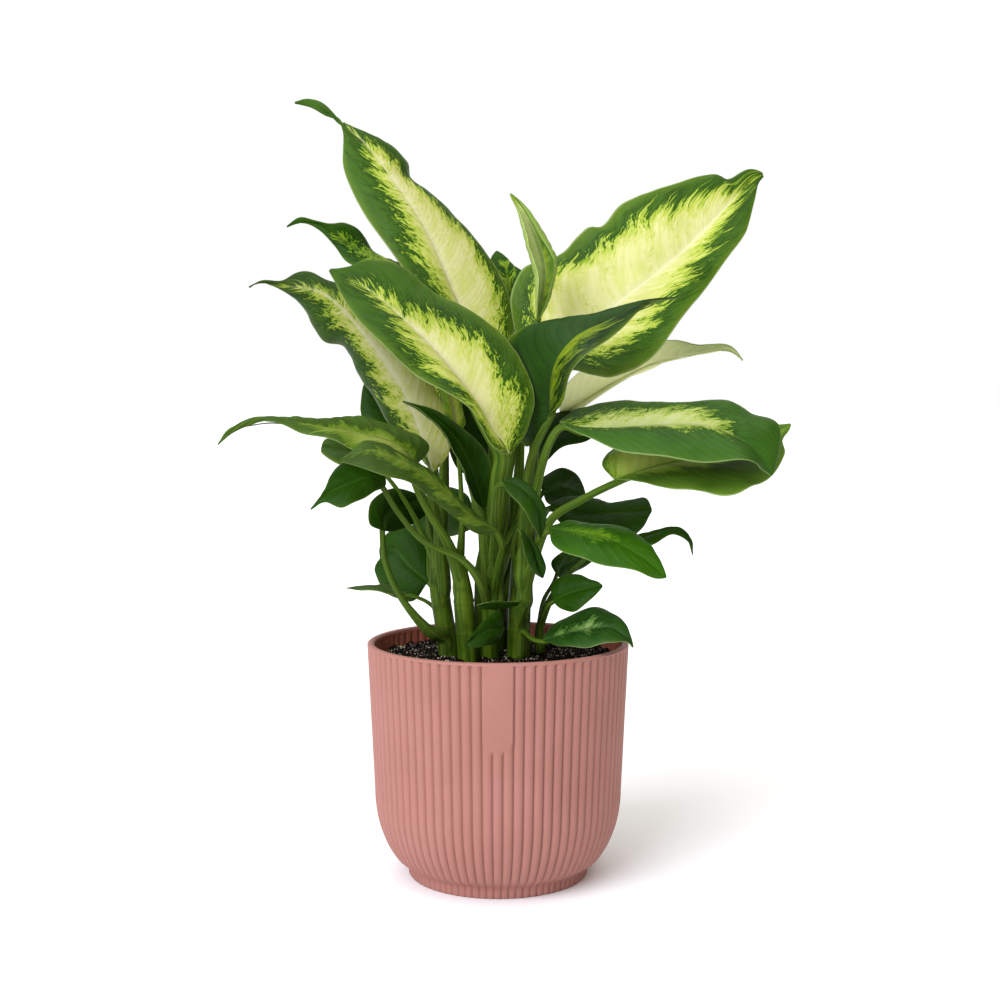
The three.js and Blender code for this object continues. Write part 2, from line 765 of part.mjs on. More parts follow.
/** The manifold solid of a closed geometry. */
function toSolid(geometry) {
  const bare = geometry.clone();
  bare.deleteAttribute('normal');
  bare.deleteAttribute('uv');
  const merged = mergeVertices(bare);
  return new wasm.Manifold(new wasm.Mesh({
    numProp: 3,
    vertProperties: merged.attributes.position.array,
    triVerts: Uint32Array.from(merged.index.array),
  }));
}

/** The geometry of a manifold solid. */
function toGeometry(solid) {
  const mesh = solid.getMesh();
  return geometryFrom(mesh.vertProperties, Array.from(mesh.triVerts));
}

/** The largest of the bodies that a cut leaves. */
function largestBody(solid) {
  return solid.decompose().reduce((best, body) => (body.volume() > best.volume() ? body : best));
}

/** A named mesh in a plain finish. */
function piece(name, geometry, color, roughness) {
  geometry.computeVertexNormals();
  const material = new THREE.MeshStandardMaterial({ color, roughness, metalness: 0, flatShading: true });
  const mesh = new THREE.Mesh(geometry, material);
  mesh.name = name;
  return mesh;
}

// ---------------------------------------------------------------------------
// Pot
// ---------------------------------------------------------------------------

/** The pot's outer radius over the ribs at a height: a cone above, a quarter ellipse below. */
function potRadius(height) {
  const { shoulderHeight, shoulderRadius, rimRadius, footHeight, footRadius } = POT;
  if (height < footHeight) return footRadius;
  if (height > shoulderHeight) {
    const up = (height - shoulderHeight) / (POT.height - shoulderHeight);
    return shoulderRadius + (rimRadius - shoulderRadius) * up;
  }
  const down = (shoulderHeight - height) / (shoulderHeight - POT.bellyBottom);
  return shoulderRadius - POT.bellyDepth * (1 - Math.sqrt(1 - down * down));
}

/** How deep the surface lies under the ribs' crests: a groove at every other column. */
function grooveDepth(column, height) {
  const groove = column % 2 === 0;
  const fromFront = Math.abs(column - 1) / 2;
  const onStrip = Math.min(fromFront, RIBS.pitch - fromFront) < RIBS.smoothStrip / 2
    && height >= RIBS.stripEnd;
  const onRim = height > POT.height - POT.rimBand;
  return groove && !onStrip && !onRim ? RIBS.depth : 0;
}

/** The pot: a ribbed body, less the space inside it. */
function makePot() {
  const columns = 2 * RIBS.pitch;
  const { height, rimRound, floor, shoulderHeight } = POT;
  const ribTop = height - POT.rimBand;
  const levels = [
    0, POT.footHeight, ...POT.bellyLevels, shoulderHeight,
    RIBS.stripEnd - RIBS.runOut, RIBS.stripEnd, ribTop, ribTop + RIBS.roundOff,
  ];
  const ring = (level, inset) => Array.from({ length: columns }, (_, column) => {
    // Column 0 is a groove beside the front, and column 1 the crest in the middle of the front.
    const angle = -Math.PI / 2 + ((column - 1) * Math.PI) / RIBS.pitch;
    const radius = potRadius(level) - grooveDepth(column, level) - inset;
    return new THREE.Vector3(radius * Math.cos(angle), radius * Math.sin(angle), level);
  });
  const rings = levels.map((level) => ring(level, 0));
  rings.push(ring(height, rimRound));
  const outside = toSolid(loft(rings));

  const profile = [new THREE.Vector2(0, floor)];
  for (const level of [floor, ...POT.cavityLevels, shoulderHeight, height - rimRound]) {
    profile.push(new THREE.Vector2(cavityRadius(level), level));
  }
  profile.push(new THREE.Vector2(cavityRadius(height) + rimRound, height + CLEARANCE));
  profile.push(new THREE.Vector2(0, height + CLEARANCE));
  const cavity = toSolid(new THREE.LatheGeometry(profile, POT.cavitySides).rotateX(Math.PI / 2));
  return piece('pot', toGeometry(outside.subtract(cavity)), COLOUR.pot, ROUGHNESS.pot);
}

/** The radius of the space inside the pot. */
function cavityRadius(height) {
  return potRadius(height) - POT.wall;
}

// ---------------------------------------------------------------------------
// Soil and canes
// ---------------------------------------------------------------------------

/** The height of the soil's lumpy surface, where a few low waves cross. */
function soilHeight(x, y) {
  return SOIL.lumps.reduce(
    (height, [rise, turnX, turnY]) => height + rise * Math.sin(turnX * x + turnY * y),
    SOIL.level,
  );
}

/** The soil that fills the pot, with a hole for each cane. */
function makeSoil() {
  const ringAt = (radius, heightAt) => Array.from({ length: SOIL.sides }, (_, side) => {
    const angle = (2 * Math.PI * side) / SOIL.sides;
    const [x, y] = [radius * Math.cos(angle), radius * Math.sin(angle)];
    return new THREE.Vector3(x, y, heightAt(x, y));
  });
  const edge = cavityRadius(SOIL.level) - CLEARANCE;
  const rings = [
    ringAt(cavityRadius(POT.floor) - CLEARANCE, () => POT.floor + CLEARANCE),
    ...SOIL.wallLevels.map((level) => ringAt(cavityRadius(level) - CLEARANCE, () => level)),
    ringAt(edge, (x, y) => soilHeight(x, y) - SOIL.edgeDrop),
    ...SOIL.rings.map((share) => ringAt(edge * share, soilHeight)),
  ];
  const bored = CANES.reduce((soil, cane) => soil.subtract(holeSolid(cane)), toSolid(loft(rings)));
  return piece('soil', toGeometry(bored), COLOUR.soil, ROUGHNESS.soil);
}

/** A cane's axis, from its foot in the soil to its top. */
function caneAxis(cane, margin) {
  const [[x, y], ...above] = cane.axis;
  const [below, top] = above.slice(-2).map((point) => new THREE.Vector3(...point));
  const end = top.clone().addScaledVector(top.clone().sub(below).normalize(), margin);
  const foot = [x, y, SOIL.holeFloor - margin];
  const buried = [x, y, (SOIL.holeFloor + SOIL.level) / 2];
  return curveThrough([foot, buried, ...cane.axis.slice(0, -1), end.toArray()]);
}

/** A cane's solid: a tapering stem with a ring at each leaf scar. margin widens it all round. */
function caneSolid(cane, margin) {
  const [foot, top] = cane.radius;
  const radiusAt = (share) => {
    const radius = foot + (top - foot) * share;
    const scars = CANE.scarRise * Math.cos(CANE.rows * Math.PI * share);
    return (share < 1 ? radius + scars : radius * CANE.tipShare) + margin;
  };
  return toSolid(tube(caneAxis(cane, margin), radiusAt, CANE.rows, CANE.sides));
}

/** The plain hole in the soil that a cane stands in. */
function holeSolid(cane) {
  const [x, y] = cane.axis[0];
  const foot = [x, y, SOIL.holeFloor - CLEARANCE];
  const run = curveThrough([foot, [x, y, SOIL.level], cane.axis[1]]);
  const radius = cane.radius[0] + CANE.scarRise + CLEARANCE;
  return toSolid(tube(run, () => radius, SOIL.holeRows, CANE.sides));
}

// ---------------------------------------------------------------------------
// Leaves
// ---------------------------------------------------------------------------

/**
 * The middle surface of a blade, as a function of t, from base to tip, and v, from the left
 * margin at -1 to the right margin at 1. A point lies on the straight line from the midrib to
 * the margin, then swells by the bow and, towards the margin, rises and falls in waves.
 */
function bladeSurface(leaf, index) {
  const [base, tip] = [leaf.midrib[0], leaf.midrib.at(-1)];
  const midrib = curveThrough(leaf.midrib);
  const left = curveThrough([base, ...leaf.left, tip]);
  const right = curveThrough([base, ...leaf.right, tip]);
  const [waveHeight, waves] = leaf.ripple;
  return (t, v) => {
    const point = midrib.getPointAt(t);
    const across = (v < 0 ? left : right).getPointAt(t).sub(point);
    const up = across.clone().cross(midrib.getTangentAt(t)).normalize().multiplyScalar(v < 0 ? -1 : 1);
    const reach = Math.abs(v);
    const fade = Math.sin(Math.PI * t);
    const swell = leaf.bow * 4 * reach * (1 - reach) * fade;
    const phase = index + (v < 0 ? 0 : BLADE.waveLag);
    const wave = waveHeight * reach * reach * fade * Math.sin(2 * Math.PI * waves * t + phase);
    return point.addScaledVector(across, reach).addScaledVector(up, swell + wave);
  };
}

/** The direction of a surface's upper side, from its slopes in t and v. */
function upperSide(surface, t, v) {
  const [dt, dv] = [0.01, 0.05];
  const along = surface(t + dt, v).sub(surface(t - dt, v));
  const across = surface(t, Math.min(v + dv, 1)).sub(surface(t, Math.max(v - dv, -1)));
  return across.cross(along).normalize();
}

/**
 * A blade as a thin closed solid: its surface moved up and down by half the thickness, with
 * both faces split into the same triangles, and the keel of the midrib underneath.
 */
function bladeSolid(leaf, index) {
  const { rows, columns } = GRID[leaf.size];
  const surface = bladeSurface(leaf, index);
  const faces = { upper: [], lower: [] };
  for (let row = 0; row <= rows; row += 1) {
    const t = BLADE.start + (BLADE.end - BLADE.start) * (row / rows);
    for (let column = 0; column <= columns; column += 1) {
      const v = (2 * column) / columns - 1;
      const point = surface(t, v);
      const up = upperSide(surface, t, v);
      const keel = v === 0 ? BLADE.keel * (1 - t) : 0;
      faces.upper.push(point.clone().addScaledVector(up, BLADE.thickness / 2));
      faces.lower.push(point.clone().addScaledVector(up, -BLADE.thickness / 2 - keel));
    }
  }
  const positions = [...faces.upper, ...faces.lower].flatMap((point) => point.toArray());
  const below = faces.upper.length;
  const at = (row, column) => row * (columns + 1) + column;
  const triangles = [];
  for (let row = 0; row < rows; row += 1) {
    for (let column = 0; column < columns; column += 1) {
      const [a, b] = [at(row, column), at(row, column + 1)];
      const [c, d] = [at(row + 1, column), at(row + 1, column + 1)];
      triangles.push(a, b, d, a, d, c);
      triangles.push(below + a, below + d, below + b, below + a, below + c, below + d);
    }
  }
  const wall = (from, to) => triangles.push(from, below + from, below + to, from, below + to, to);
  for (let row = 0; row < rows; row += 1) {
    wall(at(row + 1, 0), at(row, 0));
    wall(at(row, columns), at(row + 1, columns));
  }
  for (let column = 0; column < columns; column += 1) {
    wall(at(0, column), at(0, column + 1));
    wall(at(rows, column + 1), at(rows, column));
  }
  return toSolid(geometryFrom(positions, triangles));
}

/** A leaf's stalk: a tapering tube from the cane's axis to the keel under the blade's base. */
function stalkSolid(leaf, index, margin) {
  const surface = bladeSurface(leaf, index);
  const under = (t, depth) => surface(t, 0).addScaledVector(upperSide(surface, t, 0), -depth).toArray();
  const [start, end] = leaf.stalk;
  const base = under(BLADE.start, STALK.sink * end);
  const run = curveThrough([...leaf.petiole, base, under(STALK.tipAt, STALK.tipDepth)]);
  const radiusAt = (share) => {
    const radius = start + (end - start) * Math.min(1, share / STALK.taperEnd);
    return (share < 1 ? radius : radius * STALK.tipShare) + margin;
  };
  return toSolid(tube(run, radiusAt, GRID[leaf.size].stalkRows, STALK.sides));
}

/** A leaf in one piece, hollowed where it clasps its cane and the stalks that grow beside it. */
function makeLeaf(leaf, index, neighbours) {
  const grown = stalkSolid(leaf, index, 0).add(bladeSolid(leaf, index));
  const trimmed = neighbours.reduce((body, neighbour) => body.subtract(neighbour), grown);
  return piece(leaf.name, toGeometry(largestBody(trimmed)), COLOUR[leaf.tone], ROUGHNESS.leaf);
}

// ---------------------------------------------------------------------------
// Assembly
// ---------------------------------------------------------------------------

const plant = new THREE.Group();
const neighbours = CANES.map((cane) => caneSolid(cane, CLEARANCE));
CANES.forEach((cane) => {
  plant.add(piece(cane.name, toGeometry(caneSolid(cane, 0)), COLOUR.cane, ROUGHNESS.cane));
});
LEAVES.forEach((leaf, index) => {
  plant.add(makeLeaf(leaf, index, neighbours));
  neighbours.push(stalkSolid(leaf, index, CLEARANCE));
});

const pottedPlant = new THREE.Group();
pottedPlant.add(makePot(), makeSoil(), plant);

export default pottedPlant;
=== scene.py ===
"""A potted dieffenbachia: ribbed cover pot, soil, canes and patterned leaves."""

import logging
import math
from dataclasses import dataclass, field
from enum import Enum

import bpy
import numpy as np
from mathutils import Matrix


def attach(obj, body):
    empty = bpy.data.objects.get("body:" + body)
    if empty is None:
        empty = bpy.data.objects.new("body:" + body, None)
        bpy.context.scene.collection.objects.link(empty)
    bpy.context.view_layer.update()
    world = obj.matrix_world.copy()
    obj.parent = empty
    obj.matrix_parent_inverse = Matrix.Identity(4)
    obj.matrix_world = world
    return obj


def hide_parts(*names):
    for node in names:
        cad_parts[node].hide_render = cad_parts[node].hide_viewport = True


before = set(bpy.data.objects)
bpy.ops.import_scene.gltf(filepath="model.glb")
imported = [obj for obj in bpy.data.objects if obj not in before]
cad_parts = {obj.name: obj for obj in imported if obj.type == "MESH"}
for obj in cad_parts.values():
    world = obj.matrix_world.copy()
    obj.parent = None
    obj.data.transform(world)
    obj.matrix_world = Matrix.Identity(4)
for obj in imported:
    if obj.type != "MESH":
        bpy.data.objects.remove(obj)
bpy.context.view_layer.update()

Points = list[tuple[float, float, float]]
Colour = tuple[float, float, float]

LOG = logging.getLogger("potted_plant")
MM = 0.001  # the sizes below are in millimetres
BODY = "root"
SEED = 11
SOIL_LEVEL = 117.0  # height of the soil above the pot's underside
UNDER_PART, STALK_PART = 1.0, 2.0  # what the zone note says of undersides and of stalks
STREAK_TURN = 4.0  # how far from its axis a stem's streaks are drawn


# ---------------------------------------------------------------------------
# Surfaces
# ---------------------------------------------------------------------------


def curve_at(points: Points, shares: np.ndarray) -> np.ndarray:
    """Points on the smooth curve through some knots.

    Between two knots p1 and p2 the curve is a cubic whose slope at each knot is half the
    step between the knots on either side; beyond the ends the first and last steps repeat.

    Args:
        points: The knots that the curve runs through.
        shares: Parts of the curve's length, from 0 to 1.

    Returns:
        An array of one point for each share.
    """
    knots = np.array(points, dtype=float)
    knots = np.vstack([2 * knots[0] - knots[1], knots, 2 * knots[-1] - knots[-2]])
    spans = len(knots) - 3
    before, start, end, after = (knots[k:k + spans, None, :] for k in range(4))
    u = np.linspace(0, 1, 48, endpoint=False)[None, :, None]
    run = 0.5 * (2 * start + (end - before) * u + (2 * before - 5 * start + 4 * end - after) * u**2
                 + (3 * start - before - 3 * end + after) * u**3)
    run = np.vstack([run.reshape(-1, 3), knots[-2]])
    length = np.concatenate([[0], np.cumsum(np.linalg.norm(np.diff(run, axis=0), axis=1))])
    return np.stack([np.interp(shares * length[-1], length, run[:, k]) for k in range(3)], axis=-1)


def unit(vectors: np.ndarray) -> np.ndarray:
    """The vectors, each divided by its length."""
    return vectors / np.maximum(np.linalg.norm(vectors, axis=-1, keepdims=True), 1e-9)


def smooth_step(values: np.ndarray, low: float, high: float) -> np.ndarray:
    """0 below low and 1 above high, with the cubic 3s² - 2s³ between them."""
    s = np.clip((values - low) / (high - low), 0, 1)
    return s * s * (3 - 2 * s)


def wander(places: np.ndarray, seed: int, size: float) -> np.ndarray:
    """Smooth random heights: the sum of twelve sine waves in random directions.

    Args:
        places: Points, in millimetres, on the last axis.
        seed: The seed of the random draw.
        size: The length of the longest waves, in millimetres.

    Returns:
        Heights of about -1 to 1, one for each point.
    """
    draw = np.random.default_rng(seed)
    ways = unit(draw.normal(size=(12, 3))) * (2 * math.pi / size) * draw.uniform(1, 3.2, (12, 1))
    phases = draw.uniform(0, 2 * math.pi, 12)
    return np.sin(places @ ways.T + phases).sum(axis=-1) / 4


@dataclass
class Skin:
    """A closed surface, with what its material reads at each point.

    Attributes:
        points: Places, in millimetres.
        quads: Corner numbers of the four-sided faces.
        triangles: Corner numbers of the three-sided faces.
        notes: Named vectors, one for each point.
    """

    points: np.ndarray
    quads: np.ndarray
    triangles: np.ndarray
    notes: dict[str, np.ndarray]

    @classmethod
    def loft(cls, rings: np.ndarray, notes: dict[str, np.ndarray]) -> "Skin":
        """A closed skin over rings of points, each end drawn together to one middle point.

        Args:
            rings: Rows of points, each row closed on itself, as an array of three axes.
            notes: Named vectors on the same grid as the rings.

        Returns:
            The skin, with its faces turned outwards.
        """
        rows, columns = rings.shape[:2]
        corner = np.arange(rows * columns).reshape(rows, columns)
        turned = np.roll(corner, -1, axis=1)
        quads = np.stack([corner[:-1], turned[:-1], turned[1:], corner[1:]], axis=-1).reshape(-1, 4)
        near, far = np.full(columns, rows * columns), np.full(columns, rows * columns + 1)
        triangles = np.vstack([np.stack([near, turned[0], corner[0]], axis=-1),
                               np.stack([far, corner[-1], turned[-1]], axis=-1)])

        def flat(grid: np.ndarray) -> np.ndarray:
            """The grid as one list, with the middles of its two ends behind it."""
            ends = [grid[0].mean(axis=0), grid[-1].mean(axis=0)]
            return np.vstack([grid.reshape(-1, grid.shape[-1]), ends])

        flat_notes = {name: flat(note) for name, note in notes.items()}
        skin = cls(flat(rings), quads, triangles, flat_notes)
        return skin if skin.volume() > 0 else skin.reversed()

    def volume(self) -> float:
        """The volume inside, which is below zero when the faces look inwards.

        It is the sum of the tetrahedra between the origin and each triangle.

        Returns:
            The volume, in cubic millimetres.
        """
        halves = np.vstack([self.quads[:, [0, 1, 2]], self.quads[:, [0, 2, 3]], self.triangles])
        a, b, c = (self.points[halves[:, k]] for k in range(3))
        return float(np.einsum("ij,ij->", a, np.cross(b, c)) / 6)

    def reversed(self) -> "Skin":
        """The same skin with its faces turned round."""
        return Skin(self.points, self.quads[:, ::-1], self.triangles[:, ::-1], self.notes)

    def joined(self, *others: "Skin") -> "Skin":
        """This skin and some others as one list of points and faces.

        Args:
            others: Skins with the same notes.

        Returns:
            The joined skin.
        """
        skins = (self, *others)
        firsts = np.cumsum([0] + [len(skin.points) for skin in skins])
        return Skin(
            np.vstack([skin.points for skin in skins]),
            np.vstack([skin.quads + first for skin, first in zip(skins, firsts)]),
            np.vstack([skin.triangles + first for skin, first in zip(skins, firsts)]),
            {name: np.vstack([skin.notes[name] for skin in skins]) for name in self.notes},
        )

    def piece(self, name: str, node: str, slot: str, material: bpy.types.Material) -> None:
        """Make the skin into a piece that takes the place of a CAD node.

        Args:
            name: The piece's name.
            node: The CAD node that it stands for.
            slot: The record's material slot, which is not used.
            material: Its finish.
        """
        mesh = bpy.data.meshes.new(name)
        corners = np.concatenate([self.quads.ravel(), self.triangles.ravel()])
        firsts = np.concatenate([4 * np.arange(len(self.quads)),
                                 4 * len(self.quads) + 3 * np.arange(len(self.triangles))])
        mesh.vertices.add(len(self.points))
        mesh.vertices.foreach_set("co", (self.points * MM).ravel())
        mesh.loops.add(len(corners))
        mesh.loops.foreach_set("vertex_index", corners)
        mesh.polygons.add(len(firsts))
        mesh.polygons.foreach_set("loop_start", firsts)
        mesh.polygons.foreach_set("use_smooth", np.ones(len(firsts), dtype=bool))
        mesh.update(calc_edges=True)
        for note, vectors in self.notes.items():
            layer = mesh.attributes.new(note, "FLOAT_VECTOR", "POINT")
            layer.data.foreach_set("vector", vectors.ravel())
        mesh.materials.append(material)
        thing = bpy.data.objects.new(name, mesh)
        bpy.context.scene.collection.objects.link(thing)
        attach(thing, BODY)
        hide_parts(node)
        LOG.info("%s: %d faces", name, len(firsts))


def tube(points: Points, radii: np.ndarray, sides: int, seed: int, shade: float,
         flat: np.ndarray | float = 1.0) -> Skin:
    """A stem carried along a curve.

    Each ring is centre + radius · (cos a · side + flat · sin a · up), where side is level and
    square to the curve and up is square to both.

    Args:
        points: The knots of the curve.
        radii: The radius at each ring, which also sets the number of rings.
        sides: Points in a ring.
        seed: Tells one stem's streaks from another's.
        shade: How much lighter, or below 0 darker, it is than its finish, partly as painted light and
            shade.
        flat: How thick the stem is from front to back, as a part of its width.

    Returns:
        The closed stem.
    """
    shares = np.linspace(0, 1, len(radii))
    centres = curve_at(points, shares)
    along = unit(np.gradient(centres, axis=0))
    level = np.cross(centres[-1] - centres[0], [0, 0, 1.0]) + [1e-3, 0, 0]
    side = unit(level - along * (along @ level)[:, None])
    up = np.cross(along, side)
    angles = np.linspace(0, 2 * math.pi, sides, endpoint=False)
    thin = np.broadcast_to(np.asarray(flat, dtype=float), radii.shape)
    rings = centres[:, None] + radii[:, None, None] * (
        np.cos(angles)[None, :, None] * side[:, None]
        + (thin[:, None] * np.sin(angles)[None, :])[..., None] * up[:, None])
    length = np.linalg.norm(np.diff(centres, axis=0), axis=1).sum()
    ones = np.ones((len(radii), sides))
    run = ones * shares[:, None]
    turn_x, turn_y = (STREAK_TURN * wave(angles) * ones for wave in (np.cos, np.sin))
    return Skin.loft(rings, {
        "grow": np.stack([run * length, turn_x, ones * seed], axis=-1),
        "zone": np.stack([run, turn_y, ones * STALK_PART], axis=-1),
        "edge": np.stack([ones * 0, ones * shade, ones * 0], axis=-1),
    })


# ---------------------------------------------------------------------------
# Finishes
# ---------------------------------------------------------------------------


def srgb(red: float, green: float, blue: float) -> Colour:
    """The linear colour of three screen values from 0 to 255."""
    return tuple((c / 255 / 12.92 if c <= 10 else ((c / 255 + 0.055) / 1.055) ** 2.4)
                 for c in (red, green, blue))


class Wire:
    """A value that runs between shader nodes and takes part in Python arithmetic."""

    def __init__(self, graph: "Graph", socket: bpy.types.NodeSocket) -> None:
        """Hold a graph and the socket that the value comes out of."""
        self.graph = graph
        self.socket = socket

    def math(self, operation: str, *values: "Wire | float") -> "Wire":
        """A Math node with this value first and the others after it."""
        inputs = {0: self} | {k + 1: value for k, value in enumerate(values)}
        return self.graph.node("ShaderNodeMath", {"operation": operation}, inputs)[0]

    def __add__(self, other: "Wire | float") -> "Wire":
        """This value plus another."""
        return self.math("ADD", other)

    __radd__ = __add__

    def __mul__(self, other: "Wire | float") -> "Wire":
        """This value times another."""
        return self.math("MULTIPLY", other)

    __rmul__ = __mul__

    def __sub__(self, other: "Wire | float") -> "Wire":
        """This value less another."""
        return self.math("SUBTRACT", other)

    def __rsub__(self, other: float) -> "Wire":
        """A number less this value."""
        return self.math("MULTIPLY_ADD", -1.0, other)

    def clamped(self) -> "Wire":
        """This value kept between 0 and 1."""
        return self.graph.node("ShaderNodeClamp", {}, {0: self})[0]

    def ease(self, low: float, high: float) -> "Wire":
        """0 where this value is at low, 1 where it is at high, and smooth between them.

        Args:
            low: The value that gives 0.
            high: The value that gives 1.

        Returns:
            The eased value.
        """
        settings = {"interpolation_type": "SMOOTHSTEP"}
        inputs = {"Value": self, "From Min": low, "From Max": high}
        return self.graph.node("ShaderNodeMapRange", settings, inputs)[0]


class Graph:
    """The node tree of a material or of the surroundings."""

    def __init__(self, owner: bpy.types.Material | bpy.types.World) -> None:
        """Start with an empty tree in its owner.

        Args:
            owner: The material or surroundings that the tree belongs to.
        """
        owner.use_nodes = True
        self.owner = owner
        self.tree = owner.node_tree
        self.tree.nodes.clear()

    @classmethod
    def named(cls, name: str) -> "Graph":
        """The tree of a new material."""
        return cls(bpy.data.materials.new(name))

    def node(self, kind: str, settings: dict, inputs: dict) -> list[Wire]:
        """Add a node.

        Args:
            kind: The node's type.
            settings: Its own settings, set first; stops are a colour ramp's.
            inputs: Values or wires for its sockets, by name or number.

        Returns:
            A wire from each of its outputs.
        """
        made = self.tree.nodes.new(kind)
        for key, value in settings.items():
            if key == "stops":
                ramp = made.color_ramp
                while len(ramp.elements) < len(value):
                    ramp.elements.new(1.0)
                for element, (place, colour) in zip(ramp.elements, value):
                    element.position = place
                    element.color = (*colour, 1.0)
            else:
                setattr(made, key, value)
        for key, value in inputs.items():
            socket = made.inputs[key]
            if isinstance(value, Wire):
                self.tree.links.new(value.socket, socket)
            elif isinstance(value, tuple) and socket.type == "RGBA":
                socket.default_value = (*value[:3], 1.0)
            else:
                socket.default_value = value
        return [Wire(self, socket) for socket in made.outputs]

    def note(self, name: str) -> tuple[Wire, Wire, Wire]:
        """The three numbers of a named vector that the piece carries.

        Args:
            name: The vector's name.

        Returns:
            Its three numbers.
        """
        vector = self.node("ShaderNodeAttribute", {"attribute_name": name}, {})[1]
        x, y, z = self.node("ShaderNodeSeparateXYZ", {}, {0: vector})
        return x, y, z

    def vector(self, x: Wire | float, y: Wire | float, z: Wire | float) -> Wire:
        """A vector of three values."""
        return self.node("ShaderNodeCombineXYZ", {}, {0: x, 1: y, 2: z})[0]

    def noise(self, place: Wire, scale: float, detail: float = 2.0) -> Wire:
        """Smooth noise of about 0.3 to 0.7 at a place."""
        inputs = {"Vector": place, "Scale": scale, "Detail": detail}
        return self.node("ShaderNodeTexNoise", {"noise_dimensions": "3D"}, inputs)[0]

    def place(self) -> Wire:
        """The place in metres."""
        return self.node("ShaderNodeTexCoord", {}, {})[3]

    def ramp(self, value: Wire, stops: list[tuple[float, Colour]]) -> Wire:
        """A colour read off a ramp."""
        return self.node("ShaderNodeValToRGB", {"stops": stops}, {0: value})[0]

    def mix(self, share: Wire | float, first: Wire | Colour, second: Wire | Colour,
            blend: str = "MIX") -> Wire:
        """The first colour with a share of the second blended over it."""
        settings = {"data_type": "RGBA", "blend_type": blend}
        return self.node("ShaderNodeMix", settings, {0: share, 6: first, 7: second})[2]

    def shaded(self, colour: Wire, shade: Wire) -> Wire:
        """The colour made lighter by a shade above 0 and darker by one below it, as painted light and
        shade.
        """
        return self.node("ShaderNodeHueSaturation", {}, {"Value": 1.0 + shade, "Color": colour})[0]

    def bump(self, height: Wire, distance: float, strength: float = 1.0) -> Wire:
        """A normal from a height, with the distance in metres that a height of 1 stands for."""
        inputs = {"Height": height, "Distance": distance, "Strength": strength}
        return self.node("ShaderNodeBump", {}, inputs)[0]

    def finished(self, **sockets: Wire | float | tuple) -> bpy.types.Material:
        """Close the tree with a surface shader.

        Args:
            sockets: The shader's sockets, with underscores for the spaces in their names.

        Returns:
            The material.
        """
        inputs = {name.replace("_", " "): value for name, value in sockets.items()}
        surface = self.node("ShaderNodeBsdfPrincipled", {}, inputs)[0]
        self.node("ShaderNodeOutputMaterial", {}, {0: surface})
        return self.owner


@dataclass(frozen=True)
class PotFinish:
    """Matt dusty-pink plastic with a faint mottle, painted shade in the grooves and painted red bounce
    light inside.

    Attributes:
        colour: The plastic's colour.
        pale: The lighter half of its mottle.
        groove: The colour of a groove's bottom, laid on as painted shade.
        groove_shade_share: How much of that painted shade there is.
        inner: Painted bounce light: the redder colour inside, where pink walls light each other.
        roughness: Of the surface.
        mottle: Clouds of the mottle in a metre.
        grain: Grains of the fine texture in a metre.
        grain_height: Height of that texture, in metres.
    """

    colour: Colour = srgb(157, 105, 93)
    pale: Colour = srgb(162, 110, 99)
    groove: Colour = srgb(104, 58, 50)
    groove_shade_share: float = 0.38
    inner: Colour = srgb(192, 110, 90)
    roughness: float = 0.55
    mottle: float = 28.0
    grain: float = 2600.0
    grain_height: float = 0.00004

    def material(self) -> bpy.types.Material:
        """Build the finish.

        Returns:
            The material.
        """
        graph = Graph.named("pot_pink")
        place = graph.place()
        cloud = graph.noise(place, self.mottle, 3.0)
        grain = graph.noise(place, self.grain, 2.0)
        deep, inside, _ = graph.note("cut")
        plain = graph.mix(cloud.ease(0.3, 0.7), self.colour, self.pale)
        # painted bounce light: the inner wall is turned redder
        plain = graph.mix(inside.ease(0.0, 1.0), plain, self.inner)
        # painted shade: groove bottoms are darkened as deep as the cut note says
        return graph.finished(
            Base_Color=graph.mix(self.groove_shade_share * deep.ease(0.4, 1.0), plain, self.groove),
            Roughness=self.roughness + 0.12 * (grain - 0.5),
            Normal=graph.bump(grain, self.grain_height),
            Specular_IOR_Level=0.3,
        )


@dataclass(frozen=True)
class SoilFinish:
    """Near-black potting soil with a few pale specks.

    Attributes:
        black: The colour of the hollows and of most grains.
        brown: The colour of the drier grains.
        speck: The colour of a few pale grains.
        crumb: Crumbs of the fine texture in a metre.
        crumb_height: Height of that texture, in metres.
    """

    black: Colour = srgb(4, 3, 2)
    brown: Colour = srgb(40, 27, 18)
    speck: Colour = srgb(186, 172, 150)
    crumb: float = 900.0
    crumb_height: float = 0.0008

    def material(self) -> bpy.types.Material:
        """Build the finish.

        Returns:
            The material.
        """
        graph = Graph.named("potting_soil")
        shade, loose, _ = graph.note("grain")
        fine = graph.noise(graph.place(), self.crumb, 4.0)
        tint = shade * loose + fine * (1.0 - 0.6 * loose)
        colour = graph.ramp(tint, [(0.0, self.black), (0.48, self.black), (0.74, self.brown),
                                   (0.94, self.brown), (0.96, self.speck), (1.0, self.speck)])
        return graph.finished(
            Base_Color=colour,
            Roughness=0.75 + 0.3 * (fine - 0.5),
            Normal=graph.bump(fine, self.crumb_height),
            Specular_IOR_Level=0.08,
        )


